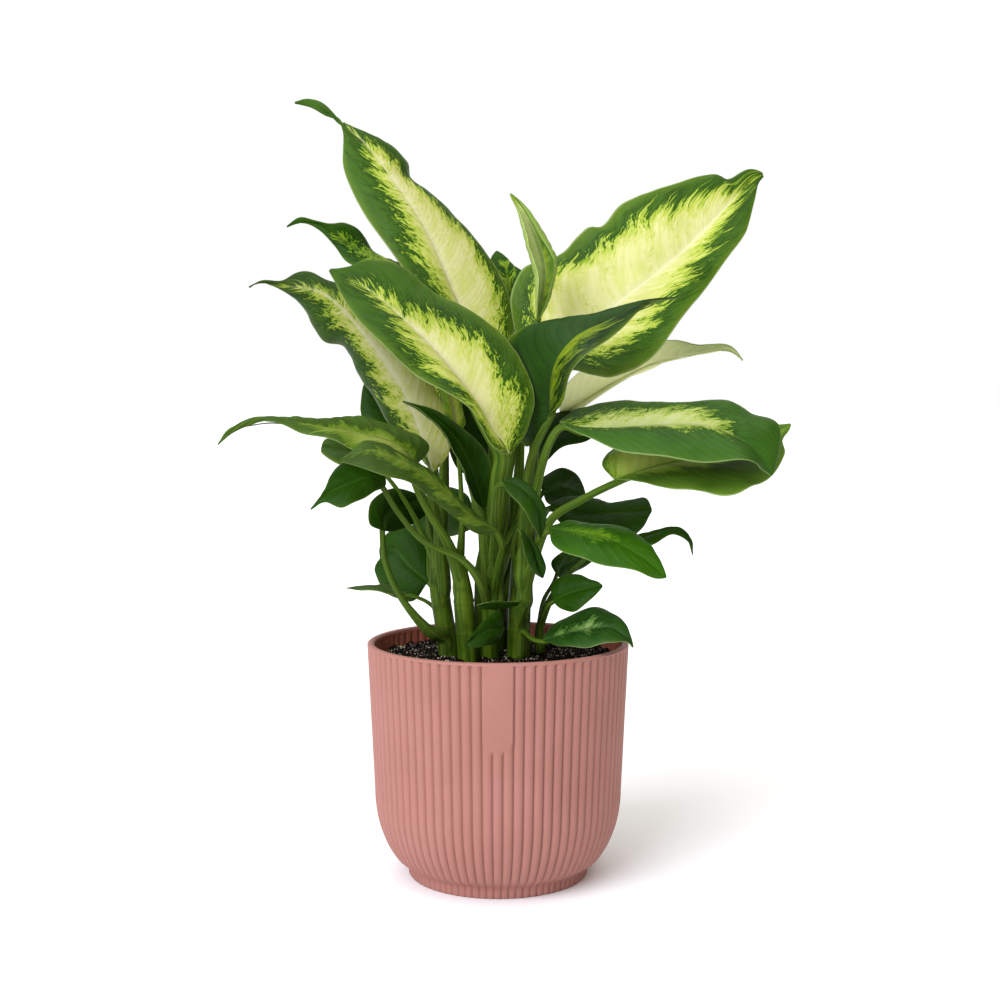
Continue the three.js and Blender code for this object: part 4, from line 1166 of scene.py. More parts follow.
@dataclass(frozen=True)
class Leaf:
    """One leaf: a blade between two margins, its midrib, and the stalk that carries it.

    Attributes:
        name: Its CAD node.
        tone: How it is marked.
        size: How finely it is drawn.
        petiole: Points along the stalk, from the cane to the blade.
        midrib: Points along the midrib, from the blade's base to its tip.
        left: Points along the left margin, seen from above with the tip ahead.
        right: Points along the right margin.
        stalk: The stalk's radius at the cane and at the blade.
        bow: How far each half of the blade swells upwards.
        ripple: Height and number of the waves along the margins.
        pale: How far the pale middle reaches to the left and to the right, as parts of the
            half blade, at six places from the blade's base to its tip.
        shade: How much lighter, or below 0 darker, than others of its tone: partly its tone, partly
            painted light and shade.
        sheath: How far the stalk's foot runs down the cane.
        wing: How much wider the stalk is there, as a part of its width.
        stalk_sides: Points in a ring of the stalk.
        thickness: Of the blade.
        quilt: How far the blade swells between its side veins.
        quilt_width: Width of a half blade over which it swells in full.
        rib_dip: Depth and half width of the dip along the midrib.
        uneven: Height and length of the waves that wander towards the margins.
        pale_range: The farthest that a point counts as inside or outside the pale middle.
        bare_depth: How far outside it a point counts where nothing is pale.
        vein_radius: The radius to which the keel runs out.
        foot_flat: How thick the sheath's foot is, as a part of its width.
        foot_tip: How wide its very end is, as a part of its full width.
        stalk_rings: Rings along the stalk and its keel.
    """

    name: str
    tone: Tone
    size: Size
    petiole: Points
    midrib: Points
    left: Points
    right: Points
    stalk: tuple[float, float]
    bow: float
    ripple: tuple[float, int]
    pale: tuple[tuple[float, ...], tuple[float, ...]] = ((0.0,) * 6, (0.0,) * 6)
    shade: float = 0.0
    sheath: float = 16.0
    wing: float = 1.2
    stalk_sides: int = 18
    thickness: float = 0.55
    quilt: float = 0.42
    quilt_width: float = 14.0
    rib_dip: tuple[float, float] = (0.45, 1.3)
    uneven: tuple[float, float] = (0.35, 26.0)
    pale_range: float = 16.0
    bare_depth: float = 14.0
    vein_radius: float = 0.3
    foot_flat: float = 0.55
    foot_tip: float = 0.35
    stalk_rings: int = 120

    def middle(self, t: np.ndarray, v: np.ndarray, index: int) -> tuple[np.ndarray, np.ndarray]:
        """The blade's middle surface.

        A point lies on the straight line from the midrib at t to the margin at t, |v| of the
        way out. It is then lifted square to the blade by bow · 4|v|(1 - |v|) · sin πt, and by
        a wave that grows with v² and runs along the margin.

        Args:
            t: Parts of the midrib's length.
            v: From -1 at the left margin to 1 at the right margin.
            index: The leaf's number, which sets where its waves begin.

        Returns:
            The points, and each one's distance from the midrib.
        """
        base, tip = self.midrib[0], self.midrib[-1]
        rib = curve_at(self.midrib, t)
        ahead = curve_at(self.midrib, np.minimum(t + 0.004, 1))
        along = unit(ahead - curve_at(self.midrib, np.maximum(t - 0.004, 0)))
        halves = []
        for margin, way in ((self.left, -1), (self.right, 1)):
            across = curve_at([base, *margin, tip], t) - rib
            halves.append((across, way * unit(np.cross(across, along))))
        chosen = (v > 0).astype(int)
        across = np.stack([halves[0][0], halves[1][0]])[chosen].transpose(1, 0, 2)
        up = np.stack([halves[0][1], halves[1][1]])[chosen].transpose(1, 0, 2)
        reach = np.abs(v)[None, :]
        fade = np.sin(math.pi * t)[:, None]
        height, waves = self.ripple
        phase = index + 2.0 * chosen[None, :]
        wave = height * reach**2 * fade * np.sin(2 * math.pi * waves * t[:, None] + phase)
        lift = 4 * self.bow * reach * (1 - reach) * fade + wave
        points = rib[:, None] + across * reach[..., None] + up * lift[..., None]
        return points, reach * np.linalg.norm(across, axis=-1)

    def pale_field(self, t: np.ndarray, v: np.ndarray, away: np.ndarray) -> np.ndarray:
        """How far inside the pale middle each point lies, in millimetres, and below 0 outside it.

        It is the reach of the pale middle less the distance from the midrib, and less the bare
        depth where nothing is pale.

        Args:
            t: Parts of the midrib's length.
            v: From -1 at the left margin to 1 at the right margin.
            away: Each point's distance from the midrib.

        Returns:
            A grid of one distance for each t and v.
        """
        places = np.linspace(0, 1, len(self.pale[0]))
        extent = np.stack([np.interp(t, places, side) for side in self.pale], axis=-1)
        side = (v > 0).astype(int)
        reach, half = extent[:, side], away[:, [0, -1]][:, side]
        bare = 1 - smooth_step(reach, 0, 0.12)
        inside = reach * half - away - self.bare_depth * bare
        return np.clip(inside, -self.pale_range, self.pale_range)

    def blade(self, index: int) -> Skin:
        """The blade: its middle surface, quilted along the side veins, given two faces.

        Side veins are lines of constant w = t - slant · |v| - slant · v² / 2. Between them the
        surface swells by the quilt's height, it dips along the midrib, and it wanders towards
        the margins. Each face lies half the thickness off, and the thickness runs out at the
        margin.

        Args:
            index: The leaf's number.

        Returns:
            The closed blade.
        """
        rows, columns = self.size.value
        t = np.linspace(0, 1, rows + 2)[1:-1]
        rim = np.array([0.975, 0.992, 1.0])
        v = np.concatenate([-rim[::-1], np.linspace(-0.95, 0.95, columns + 1), rim])
        points, away = self.middle(t, v, index)
        up = unit(np.cross(np.gradient(points, axis=1), np.gradient(points, axis=0)))
        length = np.linalg.norm(np.diff(curve_at(self.midrib, t), axis=0), axis=1).sum()
        slant = away.max(axis=1).mean() / length
        reach = np.abs(v)[None, :]
        w = t[:, None] - slant * reach - slant * reach**2 / 2
        swell = np.sin(math.pi * w * length / LEAF_FINISHES[self.tone].vein_gap) ** 2 - 0.5
        narrow = np.clip(away.max(axis=1)[:, None] / self.quilt_width, 0, 1)
        soft = np.sin(math.pi * np.clip(reach, 0, 1)) ** 0.7 * narrow
        depth, width = self.rib_dip
        dip = -depth * np.exp(-(away / width) ** 2) * np.clip(1.2 - t[:, None], 0, 1)
        rise, wave_length = self.uneven
        waves = rise * wander(points, SEED + index, wave_length) * reach**1.5
        points = points + up * (self.quilt * swell * soft + dip + waves)[..., None]
        half = 0.5 * self.thickness * np.sqrt(1 - np.abs(v) ** 30)[None, :, None]
        pale = self.pale_field(t, v, away)
        none = np.zeros_like(pale)
        grow = np.stack([w * length, away, none + 5.0 * index], axis=-1)
        upper, lower = (np.stack([pale, none + t[:, None], none + part], axis=-1)
                        for part in (0.0, UNDER_PART))
        edge = np.stack([none + reach, none + self.shade, none], axis=-1)

        def faces(above: np.ndarray, below: np.ndarray) -> np.ndarray:
            """A grid on the upper face with, behind it, one on the lower face turned back."""
            return np.concatenate([above, below[:, -2:0:-1]], axis=1)

        return Skin.loft(faces(points + up * half, points - up * half), {
            "grow": faces(grow, grow), "zone": faces(upper, lower), "edge": faces(edge, edge),
        })

    def stem(self, index: int) -> Skin:
        """The stalk, which leaves its cane as a wider sheath and runs on below as the keel.

        Its radius goes evenly from the stalk's at the cane to the stalk's at the blade, and is
        widened by the wing towards its foot. Along the keel it runs out to the vein's radius
        with the square of the way left. The foot is flat and pointed, and the rest is round.

        Args:
            index: The leaf's number.

        Returns:
            The closed stalk.
        """
        t = np.array([0.02, 0.12, 0.3, 0.5, 0.7, 0.86])
        points, _ = self.middle(t, np.array([-0.02, 0.0, 0.02]), index)
        along = np.gradient(points[:, 1], axis=0)
        up = unit(np.cross(points[:, 2] - points[:, 0], along))
        start, end = self.stalk
        thick = self.vein_radius + (end - self.vein_radius) * (1 - t) ** 2
        keel = points[:, 1] - up * (0.95 * thick + 0.45)[:, None]
        x, y, z = self.petiole[0]
        knots = [(x, y, z - self.sheath), *self.petiole, *map(tuple, keel)]
        steps = np.linalg.norm(np.diff(np.array(knots), axis=0), axis=1)
        neck = steps[:len(self.petiole) + 1].sum() / steps.sum()
        shares = np.linspace(0, 1, self.stalk_rings)
        taper = start + (end - start) * np.clip(shares / (0.8 * neck), 0, 1)
        taper = taper * (1 + self.wing * (1 - smooth_step(shares, 0.05 * neck, 0.6 * neck)))
        run = np.clip((shares - neck) / (1 - neck), 0, 1)
        radii = self.vein_radius + (taper - self.vein_radius) * (1 - run) ** 2
        radii = radii * (self.foot_tip + (1 - self.foot_tip) * smooth_step(shares, 0.0, 0.14 * neck))
        flat = self.foot_flat + (1 - self.foot_flat) * smooth_step(shares, 0.0, 0.6 * neck)
        stem = tube(knots, radii, self.stalk_sides, 5 * index, 0.4 * self.shade, flat)
        stem.notes["zone"][:, 0] = np.concatenate([np.repeat(run, self.stalk_sides), [0, 1]])
        return stem

    def build(self, index: int, material: bpy.types.Material) -> None:
        """Make the leaf's piece.

        Args:
            index: The leaf's number.
            material: Its finish.
        """
        skin = self.blade(index).joined(self.stem(index))
        skin.piece(self.name + "_grown", self.name, "leaf_" + self.tone.value, material)


LEAVES: list[Leaf] = [
    Leaf(
        "leaf_top_left", Tone.VARIEGATED, Size.LARGE,
        petiole=[(1, 28, 158), (3, 20, 211), (1, 18, 250)],
        midrib=[
            (-3, 20, 274), (-20, 26, 304), (-40, 38, 350), (-69, 52, 392), (-86, 58, 409),
            (-100, 60, 419), (-109, 61, 423), (-117, 62, 423),
        ],
        left=[
            (-15, 12, 285), (-38, 14, 309), (-57, 24, 333), (-75, 36, 360), (-86, 46, 383),
            (-87, 54, 401), (-90, 58, 412), (-99, 60, 416), (-107, 62, 421),
        ],
        right=[
            (8, 34, 285), (7, 50, 311), (-8, 62, 340), (-31, 70, 368), (-50, 74, 380), (-53, 76, 392),
            (-65, 72, 403), (-80, 64, 408), (-87, 58, 410), (-97, 60, 421), (-106, 62, 425),
        ],
        stalk=(4, 2.4), bow=3, ripple=(1.2, 3),
        pale=((0.25, 0.6, 0.55, 0.38, 0.1, 0), (0.6, 0.85, 0.8, 0.55, 0.12, 0)),
    ),
    Leaf(
        "leaf_right_large", Tone.VARIEGATED, Size.LARGE,
        petiole=[(14, -2, 170), (18, 2, 212), (22, 8, 250)],
        midrib=[
            (27, 18, 272), (56, 22, 300), (84, 30, 322), (110, 42, 344), (140, 58, 375),
            (152, 62, 383),
        ],
        left=[
            (12, 34, 285), (7, 44, 310), (15, 47, 329), (35, 48, 338), (49, 50, 350), (59, 50, 352),
            (71, 53, 367), (98, 57, 376), (121, 60, 383), (130, 60, 380), (142, 61, 386),
        ],
        right=[
            (41, 2, 271), (61, 0, 267), (84, 6, 280), (108, 20, 310), (135, 38, 344), (144, 52, 366),
            (148, 60, 378),
        ],
        stalk=(4, 2.4), bow=3, ripple=(1.6, 4),
        pale=((0.75, 0.8, 0.74, 0.66, 0.6, 0.1), (0.5, 0.68, 0.64, 0.55, 0.4, 0)),
    ),
    Leaf(
        "leaf_front_left_large", Tone.VARIEGATED, Size.LARGE,
        petiole=[(-3, -8, 168), (-2, -22, 192), (0, -36, 214)],
        midrib=[
            (6, -43, 227), (-12, -40, 255), (-32, -34, 281), (-58, -26, 305), (-75, -20, 317),
            (-88, -18, 323),
        ],
        left=[
            (-2, -58, 232), (-14, -58, 250), (-39, -52, 267), (-60, -44, 284), (-76, -32, 303),
            (-86, -20, 319),
        ],
        right=[
            (15, -32, 240), (18, -26, 261), (5, -18, 287), (-18, -13, 303), (-31, -12, 310),
            (-50, -10, 325), (-66, -12, 328), (-78, -16, 324),
        ],
        stalk=(4.8, 4.2), bow=3, ripple=(1.2, 3),
        pale=((0.8, 0.85, 0.74, 0.52, 0.2, 0), (0.64, 0.7, 0.6, 0.42, 0.14, 0)), shade=-0.1,
    ),
    Leaf(
        "leaf_left_large", Tone.VARIEGATED, Size.LARGE,
        petiole=[(-30, 8, 158), (-32, 2, 185), (-34, -2, 202)],
        midrib=[
            (-34, -6, 216), (-49, -6, 258), (-70, -4, 289), (-92, 2, 311), (-115, 8, 316),
            (-127, 10, 318), (-135, 10, 315),
        ],
        left=[
            (-44, 2, 227), (-61, 8, 245), (-71, 11, 263), (-83, 14, 282), (-94, 15, 287),
            (-104, 16, 303), (-112, 14, 311), (-121, 10, 317), (-130, 10, 317),
        ],
        right=[
            (-25, -8, 231), (-32, -2, 259), (-52, 6, 287), (-74, 10, 313), (-89, 12, 319),
            (-104, 12, 324), (-115, 9, 319), (-127, 10, 319),
        ],
        stalk=(3.8, 2.2), bow=3, ripple=(1.4, 4),
        # painted shade: this leaf is darkened for lying in the front left leaf's shadow
        pale=((0.5, 0.58, 0.54, 0.42, 0.26, 0), (1.6, 1.6, 1.1, 0.55, 0.2, 0)), shade=-0.36,
    ),
    Leaf(
        "leaf_front_right_folded", Tone.HALF, Size.LARGE,
        petiole=[(13, -14, 166), (14, -18, 200), (18, -20, 227)],
        midrib=[
            (26, -26, 246), (28, -32, 271), (39, -34, 287), (57, -34, 295), (75, -32, 303),
            (93, -28, 308),
        ],
        left=[
            (14, -14, 231), (4, -4, 263), (5, -6, 286), (22, -12, 295), (45, -18, 298), (73, -26, 305),
        ],
        right=[(33, -36, 254), (37, -44, 270), (51, -48, 282), (64, -44, 293), (78, -34, 304)],
        stalk=(3.8, 2.2), bow=3, ripple=(0.8, 3),
        pale=((0, 0, 0, 0, 0, 0), (0.6, 0.75, 0.75, 0.5, 0.15, 0)), shade=-0.1,
    ),
    Leaf(
        "leaf_young_rolled", Tone.YOUNG, Size.MEDIUM,
        petiole=[(-2, -4, 176), (9, 4, 234), (17, 4, 276)],
        midrib=[(21, 4, 297), (25, 8, 322), (21, 8, 340), (14, 6, 355), (6, 4, 365)],
        left=[(21, -2, 308), (21, -4, 321), (17, -2, 336), (11, 3, 355)],
        right=[(25, -4, 304), (29, -8, 325), (27, -4, 334), (21, 1, 344), (12, 4, 359)],
        stalk=(2.6, 1.6), bow=-4, ripple=(0.3, 2),
        pale=((3, 3, 3, 3, 3, 2), (0.3, 0.3, 0.25, 0.2, 0.1, 0)),
    ),
    Leaf(
        "leaf_behind_centre", Tone.DARK, Size.MEDIUM,
        petiole=[(1, 34, 166), (6, 48, 232), (7, 58, 278)],
        midrib=[(7, 62, 292), (6, 74, 319), (4, 84, 336), (-1, 90, 343)],
        left=[(-2, 70, 301), (-6, 80, 325), (-5, 88, 337)],
        right=[(18, 66, 301), (17, 76, 325), (8, 84, 334)],
        stalk=(3.2, 1.9), bow=3, ripple=(1, 3),
        pale=((0.3, 0.4, 0.35, 0.3, 0.1, 0), (0.3, 0.45, 0.45, 0.35, 0.1, 0)), shade=0.5,
    ),
    Leaf(
        "leaf_upper_left_back", Tone.DARK, Size.MEDIUM,
        petiole=[(-32, 14, 162), (-30, 40, 233), (-35, 62, 301)],
        midrib=[
            (-42, 68, 321), (-65, 74, 335), (-86, 78, 345), (-102, 80, 356), (-114, 80, 358),
            (-124, 80, 355),
        ],
        left=[(-56, 64, 317), (-83, 68, 332), (-95, 76, 344), (-105, 79, 354), (-115, 80, 358)],
        right=[
            (-46, 84, 330), (-68, 88, 337), (-78, 88, 350), (-89, 84, 358), (-101, 81, 358),
            (-115, 80, 361),
        ],
        stalk=(2.8, 1.6), bow=2, ripple=(1.4, 3),
        pale=((0.5, 0.5, 0.4, 0.2, 0, 0), (0.35, 0.35, 0.3, 0.1, 0, 0)), shade=0.6,
    ),
    Leaf(
        "leaf_right_underside", Tone.PALE, Size.MEDIUM,
        petiole=[(2, 24, 167), (18, 22, 200), (29, 24, 233)],
        midrib=[
            (34, 26, 246), (62, 28, 264), (87, 32, 276), (112, 34, 281), (128, 36, 283),
            (137, 36, 276),
        ],
        left=[(50, 38, 255), (69, 42, 266), (91, 44, 275), (113, 42, 281), (128, 38, 282)],
        right=[
            (34, 20, 258), (44, 16, 270), (63, 15, 277), (92, 18, 287), (111, 26, 285), (128, 34, 285),
        ],
        # painted light: the underside is lightened though it lies in shade
        stalk=(3.4, 2), bow=3, ripple=(0.8, 3), shade=0.12,
    ),
    Leaf(
        "leaf_right_upper_flat", Tone.BANDED, Size.LARGE,
        petiole=[(15, -8, 173), (19, -20, 203), (25, -26, 229)],
        midrib=[
            (31, -28, 244), (47, -32, 240), (78, -34, 242), (106, -34, 242), (123, -36, 235),
            (133, -38, 226), (139, -40, 216),
        ],
        left=[
            (42, -16, 251), (59, -8, 254), (86, -5, 254), (120, -8, 254), (133, -13, 248),
            (146, -20, 243), (145, -28, 229),
        ],
        right=[(41, -44, 238), (63, -56, 230), (95, -60, 225), (123, -56, 225), (133, -48, 220)],
        stalk=(3.5, 2.1), bow=4, ripple=(0.9, 3),
        pale=((0.15, 0.5, 0.5, 0.32, 0, 0), (0.18, 0.28, 0.26, 0.2, 0.1, 0)),
    ),
    Leaf(
        "leaf_right_lower_flat", Tone.PALE_BANDED, Size.LARGE,
        petiole=[(14, -10, 155), (26, -18, 190), (43, -22, 203)],
        midrib=[
            (60, -22, 214), (87, -20, 222), (111, -16, 225), (133, -10, 226), (147, -6, 234),
            (156, -4, 243),
        ],
        left=[(55, -8, 222), (66, 6, 231), (93, 12, 236), (120, 12, 238), (143, 6, 242), (152, 0, 242)],
        right=[
            (73, -34, 213), (97, -44, 209), (120, -44, 208), (140, -26, 215), (150, -16, 226),
            (150, -10, 234), (154, -6, 239),
        ],
        stalk=(3, 2), bow=3, ripple=(1, 4),
        # painted light: this leaf is lightened though it lies in the upper flat leaf's shadow
        pale=((0.85, 0.9, 0.85, 0.8, 0.6, 0.2), (0.65, 0.5, 0.38, 0.28, 0.1, 0)), shade=0.35,
    ),
    Leaf(
        "leaf_right_bright", Tone.BRIGHT, Size.MEDIUM,
        petiole=[(15, -14, 158), (19, -26, 178), (23, -32, 186)],
        midrib=[(26, -34, 190), (42, -42, 188), (57, -46, 185), (71, -50, 177), (85, -52, 166)],
        left=[(36, -26, 192), (55, -26, 191), (73, -34, 186), (81, -46, 176)],
        right=[(29, -44, 181), (46, -56, 175), (69, -58, 170), (79, -54, 166)],
        stalk=(2.8, 1.7), bow=2, ripple=(0.8, 3),
        pale=((0, 0.3, 0.26, 0.05, 0, 0), (0, 0.22, 0.2, 0.03, 0, 0)), shade=-0.05,
    ),
    Leaf(
        "leaf_centre_narrow", Tone.DARK, Size.SMALL,
        petiole=[(-2, -16, 171), (-2, -36, 194), (-1, -46, 210)],
        midrib=[(2, -50, 215), (12, -56, 211), (19, -58, 202), (21, -58, 186)],
        left=[(10, -50, 216), (21, -54, 207), (24, -56, 196)],
        right=[(5, -62, 210), (12, -66, 202), (17, -64, 194)],
        stalk=(2.4, 1.5), bow=2, ripple=(0.4, 2),
    ),
    Leaf(
        "leaf_right_back_round", Tone.DARK, Size.SMALL,
        petiole=[(3, 26, 155), (15, 34, 183), (21, 38, 196)],
        midrib=[(25, 40, 203), (35, 50, 206), (44, 60, 203), (52, 66, 197)],
        left=[(24, 46, 210), (36, 58, 216), (47, 66, 210)],
        right=[(28, 42, 197), (36, 50, 194), (46, 60, 193)],
        stalk=(2.6, 1.6), bow=2, ripple=(0.5, 2), shade=-0.3,
    ),
    Leaf(
        "leaf_right_back_dark", Tone.DARK, Size.MEDIUM,
        petiole=[(14, 8, 147), (20, 14, 176), (24, 18, 192)],
        midrib=[(28, 20, 197), (45, 26, 192), (65, 32, 192), (87, 40, 193)],
        left=[(36, 34, 201), (55, 42, 200), (64, 44, 196), (82, 46, 200)],
        right=[(37, 16, 186), (59, 20, 182), (77, 30, 181)],
        stalk=(2.6, 1.6), bow=3, ripple=(0.8, 3), shade=-0.1,
    ),
    Leaf(
        "leaf_right_curled_tip", Tone.DARK, Size.SMALL,
        petiole=[(23, 8, 133), (33, 2, 156), (49, -2, 172)],
        midrib=[(58, -2, 176), (76, 2, 180), (90, 4, 184), (100, 4, 184), (105, 2, 171)],
        left=[(66, 6, 180), (82, 8, 182), (94, 7, 186), (104, 4, 180)],
        right=[(65, -8, 174), (81, -6, 178), (93, 0, 183), (102, 2, 179)],
        stalk=(2, 1.2), bow=2, ripple=(0.4, 2),
    ),
    Leaf(
        "leaf_small_curled", Tone.DARK, Size.SMALL,
        petiole=[(23, 11, 134), (25, 18, 145), (30, 18, 154)],
        midrib=[(33, 18, 158), (35, 20, 164), (42, 22, 167), (53, 24, 167)],
        left=[(29, 14, 166), (34, 14, 172), (46, 18, 174)],
        right=[(38, 26, 157), (44, 30, 160), (50, 28, 164)],
        stalk=(1.6, 1.1), bow=2, ripple=(0.4, 2),
    ),
    Leaf(
        "leaf_small_pointed", Tone.BRIGHT, Size.SMALL,
        petiole=[(23, 4, 132), (25, -4, 141), (27, -8, 146)],
        midrib=[(29, -10, 149), (37, -14, 153), (46, -18, 156), (55, -22, 158)],
        left=[(29, -6, 157), (38, -8, 163), (49, -16, 161)],
        right=[(34, -16, 145), (41, -22, 145), (49, -24, 152)],
        stalk=(1.7, 1.2), bow=2, ripple=(0.4, 2), shade=-0.3,
    ),
    Leaf(
        "leaf_over_rim", Tone.SPLASH, Size.MEDIUM,
        petiole=[(13, -8, 131), (17, -16, 130), (20, -20, 129)],
        midrib=[(23, -24, 130), (37, -30, 135), (55, -38, 139), (63, -42, 136), (69, -44, 129)],
        left=[(31, -14, 138), (52, -22, 147), (63, -32, 143), (67, -40, 137)],
        right=[(32, -36, 129), (44, -46, 130), (58, -50, 133), (65, -47, 133)],
        stalk=(2, 1.4), bow=2, ripple=(0.6, 3),
        pale=((0, 0.25, 0.38, 0.2, 0, 0), (0, 0.2, 0.3, 0.15, 0, 0)),
    ),
    Leaf(
        "leaf_front_low_dark", Tone.DARK, Size.SMALL,
        petiole=[(-5, -4, 130), (-2, -14, 133), (2, -22, 136)],
        midrib=[(3, -26, 136), (-4, -34, 137), (-10, -40, 135), (-17, -44, 131)],
        left=[(0, -34, 131), (-7, -44, 130), (-13, -46, 130)],
        right=[(1, -22, 145), (-6, -28, 142), (-13, -40, 136)],
        stalk=(1.8, 1.3), bow=2, ripple=(0.4, 2),
    ),
    Leaf(
        "leaf_front_low_thin", Tone.DARK, Size.SMALL,
        petiole=[(12, -7, 134), (14, -18, 144), (15, -24, 148)],
        midrib=[(12, -28, 150), (4, -34, 150), (-4, -40, 151), (-11, -44, 151)],
        left=[(6, -26, 148), (-3, -34, 148), (-8, -42, 149)],
        right=[(6, -36, 152), (-2, -44, 153), (-7, -46, 153)],
        stalk=(1.3, 0.9), bow=1, ripple=(0.3, 2),
    ),
    Leaf(
        "leaf_left_long", Tone.PALE_BANDED, Size.LARGE,
        petiole=[(-20, -13, 160), (-26, -20, 180), (-35, -26, 196), (-41, -29, 208)],
        midrib=[
            (-43, -31, 220), (-50, -34, 232), (-70, -38, 238), (-92, -42, 241), (-120, -46, 245),
            (-134, -48, 239), (-141, -48, 232),
        ],
        left=[
            (-47, -46, 222), (-64, -54, 229), (-84, -54, 235), (-106, -50, 242), (-120, -48, 244),
            (-132, -49, 239),
        ],
        right=[
            (-36, -20, 231), (-51, -18, 241), (-68, -22, 245), (-80, -26, 246), (-91, -32, 244),
            (-106, -38, 244), (-121, -44, 245), (-134, -47, 241),
        ],
        stalk=(3.2, 1.9), bow=3, ripple=(1.2, 4),
        pale=((0.8, 0.95, 0.9, 0.6, 0.2, 0), (0.2, 0.25, 0.2, 0.1, 0, 0)), shade=-0.2,
    ),
    Leaf(
        "leaf_left_crossing", Tone.PALE_BANDED, Size.MEDIUM,
        petiole=[(-3, -14, 155), (1, -28, 173), (2, -38, 181)],
        midrib=[
            (1, -44, 189), (-14, -54, 198), (-31, -62, 215), (-48, -66, 226), (-63, -68, 231),
            (-78, -68, 225),
        ],
        left=[(-10, -50, 188), (-25, -58, 200), (-42, -70, 214), (-55, -76, 219), (-72, -72, 224)],
        right=[(-9, -46, 196), (-26, -54, 211), (-44, -58, 226), (-63, -62, 235), (-72, -66, 230)],
        stalk=(2.4, 1.6), bow=2, ripple=(0.8, 3),
        pale=((0.2, 0.45, 0.6, 0.6, 0.3, 0), (0, 0.1, 0.2, 0.2, 0.1, 0)), shade=-0.42,
    ),
    Leaf(
        "leaf_left_dark", Tone.DARK, Size.SMALL,
        petiole=[(-5, -5, 140), (-8, -20, 157), (-18, -27, 172), (-38, -29, 182), (-51, -31, 197)],
        midrib=[(-57, -34, 211), (-65, -40, 216), (-77, -46, 212), (-87, -50, 207), (-94, -52, 200)],
        left=[(-64, -48, 208), (-76, -56, 202), (-86, -54, 204)],
        right=[(-60, -28, 221), (-73, -30, 225), (-83, -38, 220), (-87, -48, 209)],
        stalk=(2.2, 1.5), bow=2, ripple=(0.8, 3), shade=0.15,
    ),
    Leaf(
        "leaf_left_back_grey", Tone.GREY, Size.SMALL,
        petiole=[(-32, 14, 160), (-48, 18, 195), (-65, 20, 218)],
        midrib=[(-72, 20, 224), (-81, 18, 226), (-89, 16, 228), (-96, 14, 230)],
        left=[(-77, 8, 220), (-87, 6, 221), (-95, 10, 226)],
        right=[(-77, 28, 231), (-86, 26, 234), (-94, 20, 234)],
        stalk=(2, 1.2), bow=2, ripple=(0.4, 2),
    ),
    Leaf(
        "leaf_left_hanging", Tone.DARK, Size.SMALL,
        petiole=[(-28, 2, 126), (-38, -6, 133), (-52, -8, 151), (-60, -6, 169)],
        midrib=[(-61, 0, 185), (-61, 8, 193), (-53, 20, 198), (-41, 30, 201)],
        left=[(-69, 0, 189), (-68, 8, 201), (-56, 20, 207)],
        right=[(-56, 10, 184), (-47, 22, 187), (-39, 30, 193)],
        stalk=(2.4, 1.6), bow=2, ripple=(0.4, 2),
    ),
    Leaf(
        "leaf_left_dark_round", Tone.DARK, Size.SMALL,
        petiole=[(-31, 14, 142), (-33, 20, 146), (-35, 24, 150)],
        midrib=[(-39, 28, 154), (-50, 34, 163), (-58, 40, 171), (-67, 44, 165)],
        left=[(-48, 30, 143), (-63, 38, 147), (-70, 42, 158)],
        right=[(-38, 36, 174), (-53, 44, 185), (-66, 46, 176)],
        stalk=(2.4, 1.6), bow=3, ripple=(0.6, 2), shade=0.1,
    ),
    Leaf(
        "leaf_left_thin", Tone.GREY, Size.SMALL,
        petiole=[(-29, 12, 132), (-36, 12, 143), (-45, 12, 148)],
        midrib=[(-50, 12, 150), (-62, 12, 152), (-72, 11, 153), (-83, 10, 153)],
        left=[(-58, 6, 150), (-69, 7, 152), (-77, 9, 152)],
        right=[(-59, 18, 154), (-70, 16, 153), (-78, 13, 153)],
        stalk=(1.6, 1), bow=1, ripple=(0.3, 2),
    ),
    Leaf(
        "leaf_centre_folded", Tone.DARK, Size.MEDIUM,
        petiole=[(-4, -8, 157), (-6, -16, 174), (-7, -22, 187)],
        midrib=[(-7, -26, 198), (-13, -30, 219), (-22, -34, 237), (-34, -38, 248), (-49, -40, 255)],
        left=[(-12, -34, 204), (-19, -42, 222), (-27, -44, 239), (-39, -42, 250)],
        right=[(-2, -24, 209), (-6, -26, 228), (-17, -30, 240), (-32, -36, 250)],
        stalk=(4.6, 3.6), bow=-2, ripple=(0.4, 2),
    ),
    Leaf(
        "leaf_left_back_dark", Tone.DARK, Size.SMALL,
        petiole=[(-31, 18, 154), (-41, 34, 199), (-50, 40, 224)],
        midrib=[(-55, 42, 233), (-62, 46, 244), (-68, 52, 256), (-73, 58, 269)],
        left=[(-66, 40, 233), (-77, 46, 246), (-77, 54, 262)],
        right=[(-49, 48, 244), (-55, 54, 258), (-63, 60, 269)],
        stalk=(2.2, 1.4), bow=2, ripple=(0.5, 2),
    ),
    Leaf(
        "leaf_centre_pale_strip", Tone.PALE, Size.SMALL,
        petiole=[(-21, -12, 160), (-19, -9, 192), (-21, -10, 229)],
        midrib=[(-22, -12, 239), (-24, -10, 249), (-27, -6, 259), (-33, 0, 270)],
        left=[(-27, -16, 244), (-29, -12, 254), (-32, -4, 264)],
        right=[(-17, -8, 242), (-19, -4, 251), (-24, 0, 261)],
        stalk=(1.8, 1.2), bow=2, ripple=(0.3, 2),
        pale=((1, 1, 0.9, 0.8, 0.5, 0), (1, 1, 0.9, 0.8, 0.5, 0)),
    ),
    Leaf(
        "leaf_centre_back_dark", Tone.DARK, Size.SMALL,
        petiole=[(-5, -3, 164), (-10, 8, 188), (-14, 14, 205)],
        midrib=[(-15, 16, 213), (-18, 20, 228), (-16, 24, 244), (-12, 28, 259)],
        left=[(-23, 12, 219), (-27, 14, 233), (-24, 20, 250)],
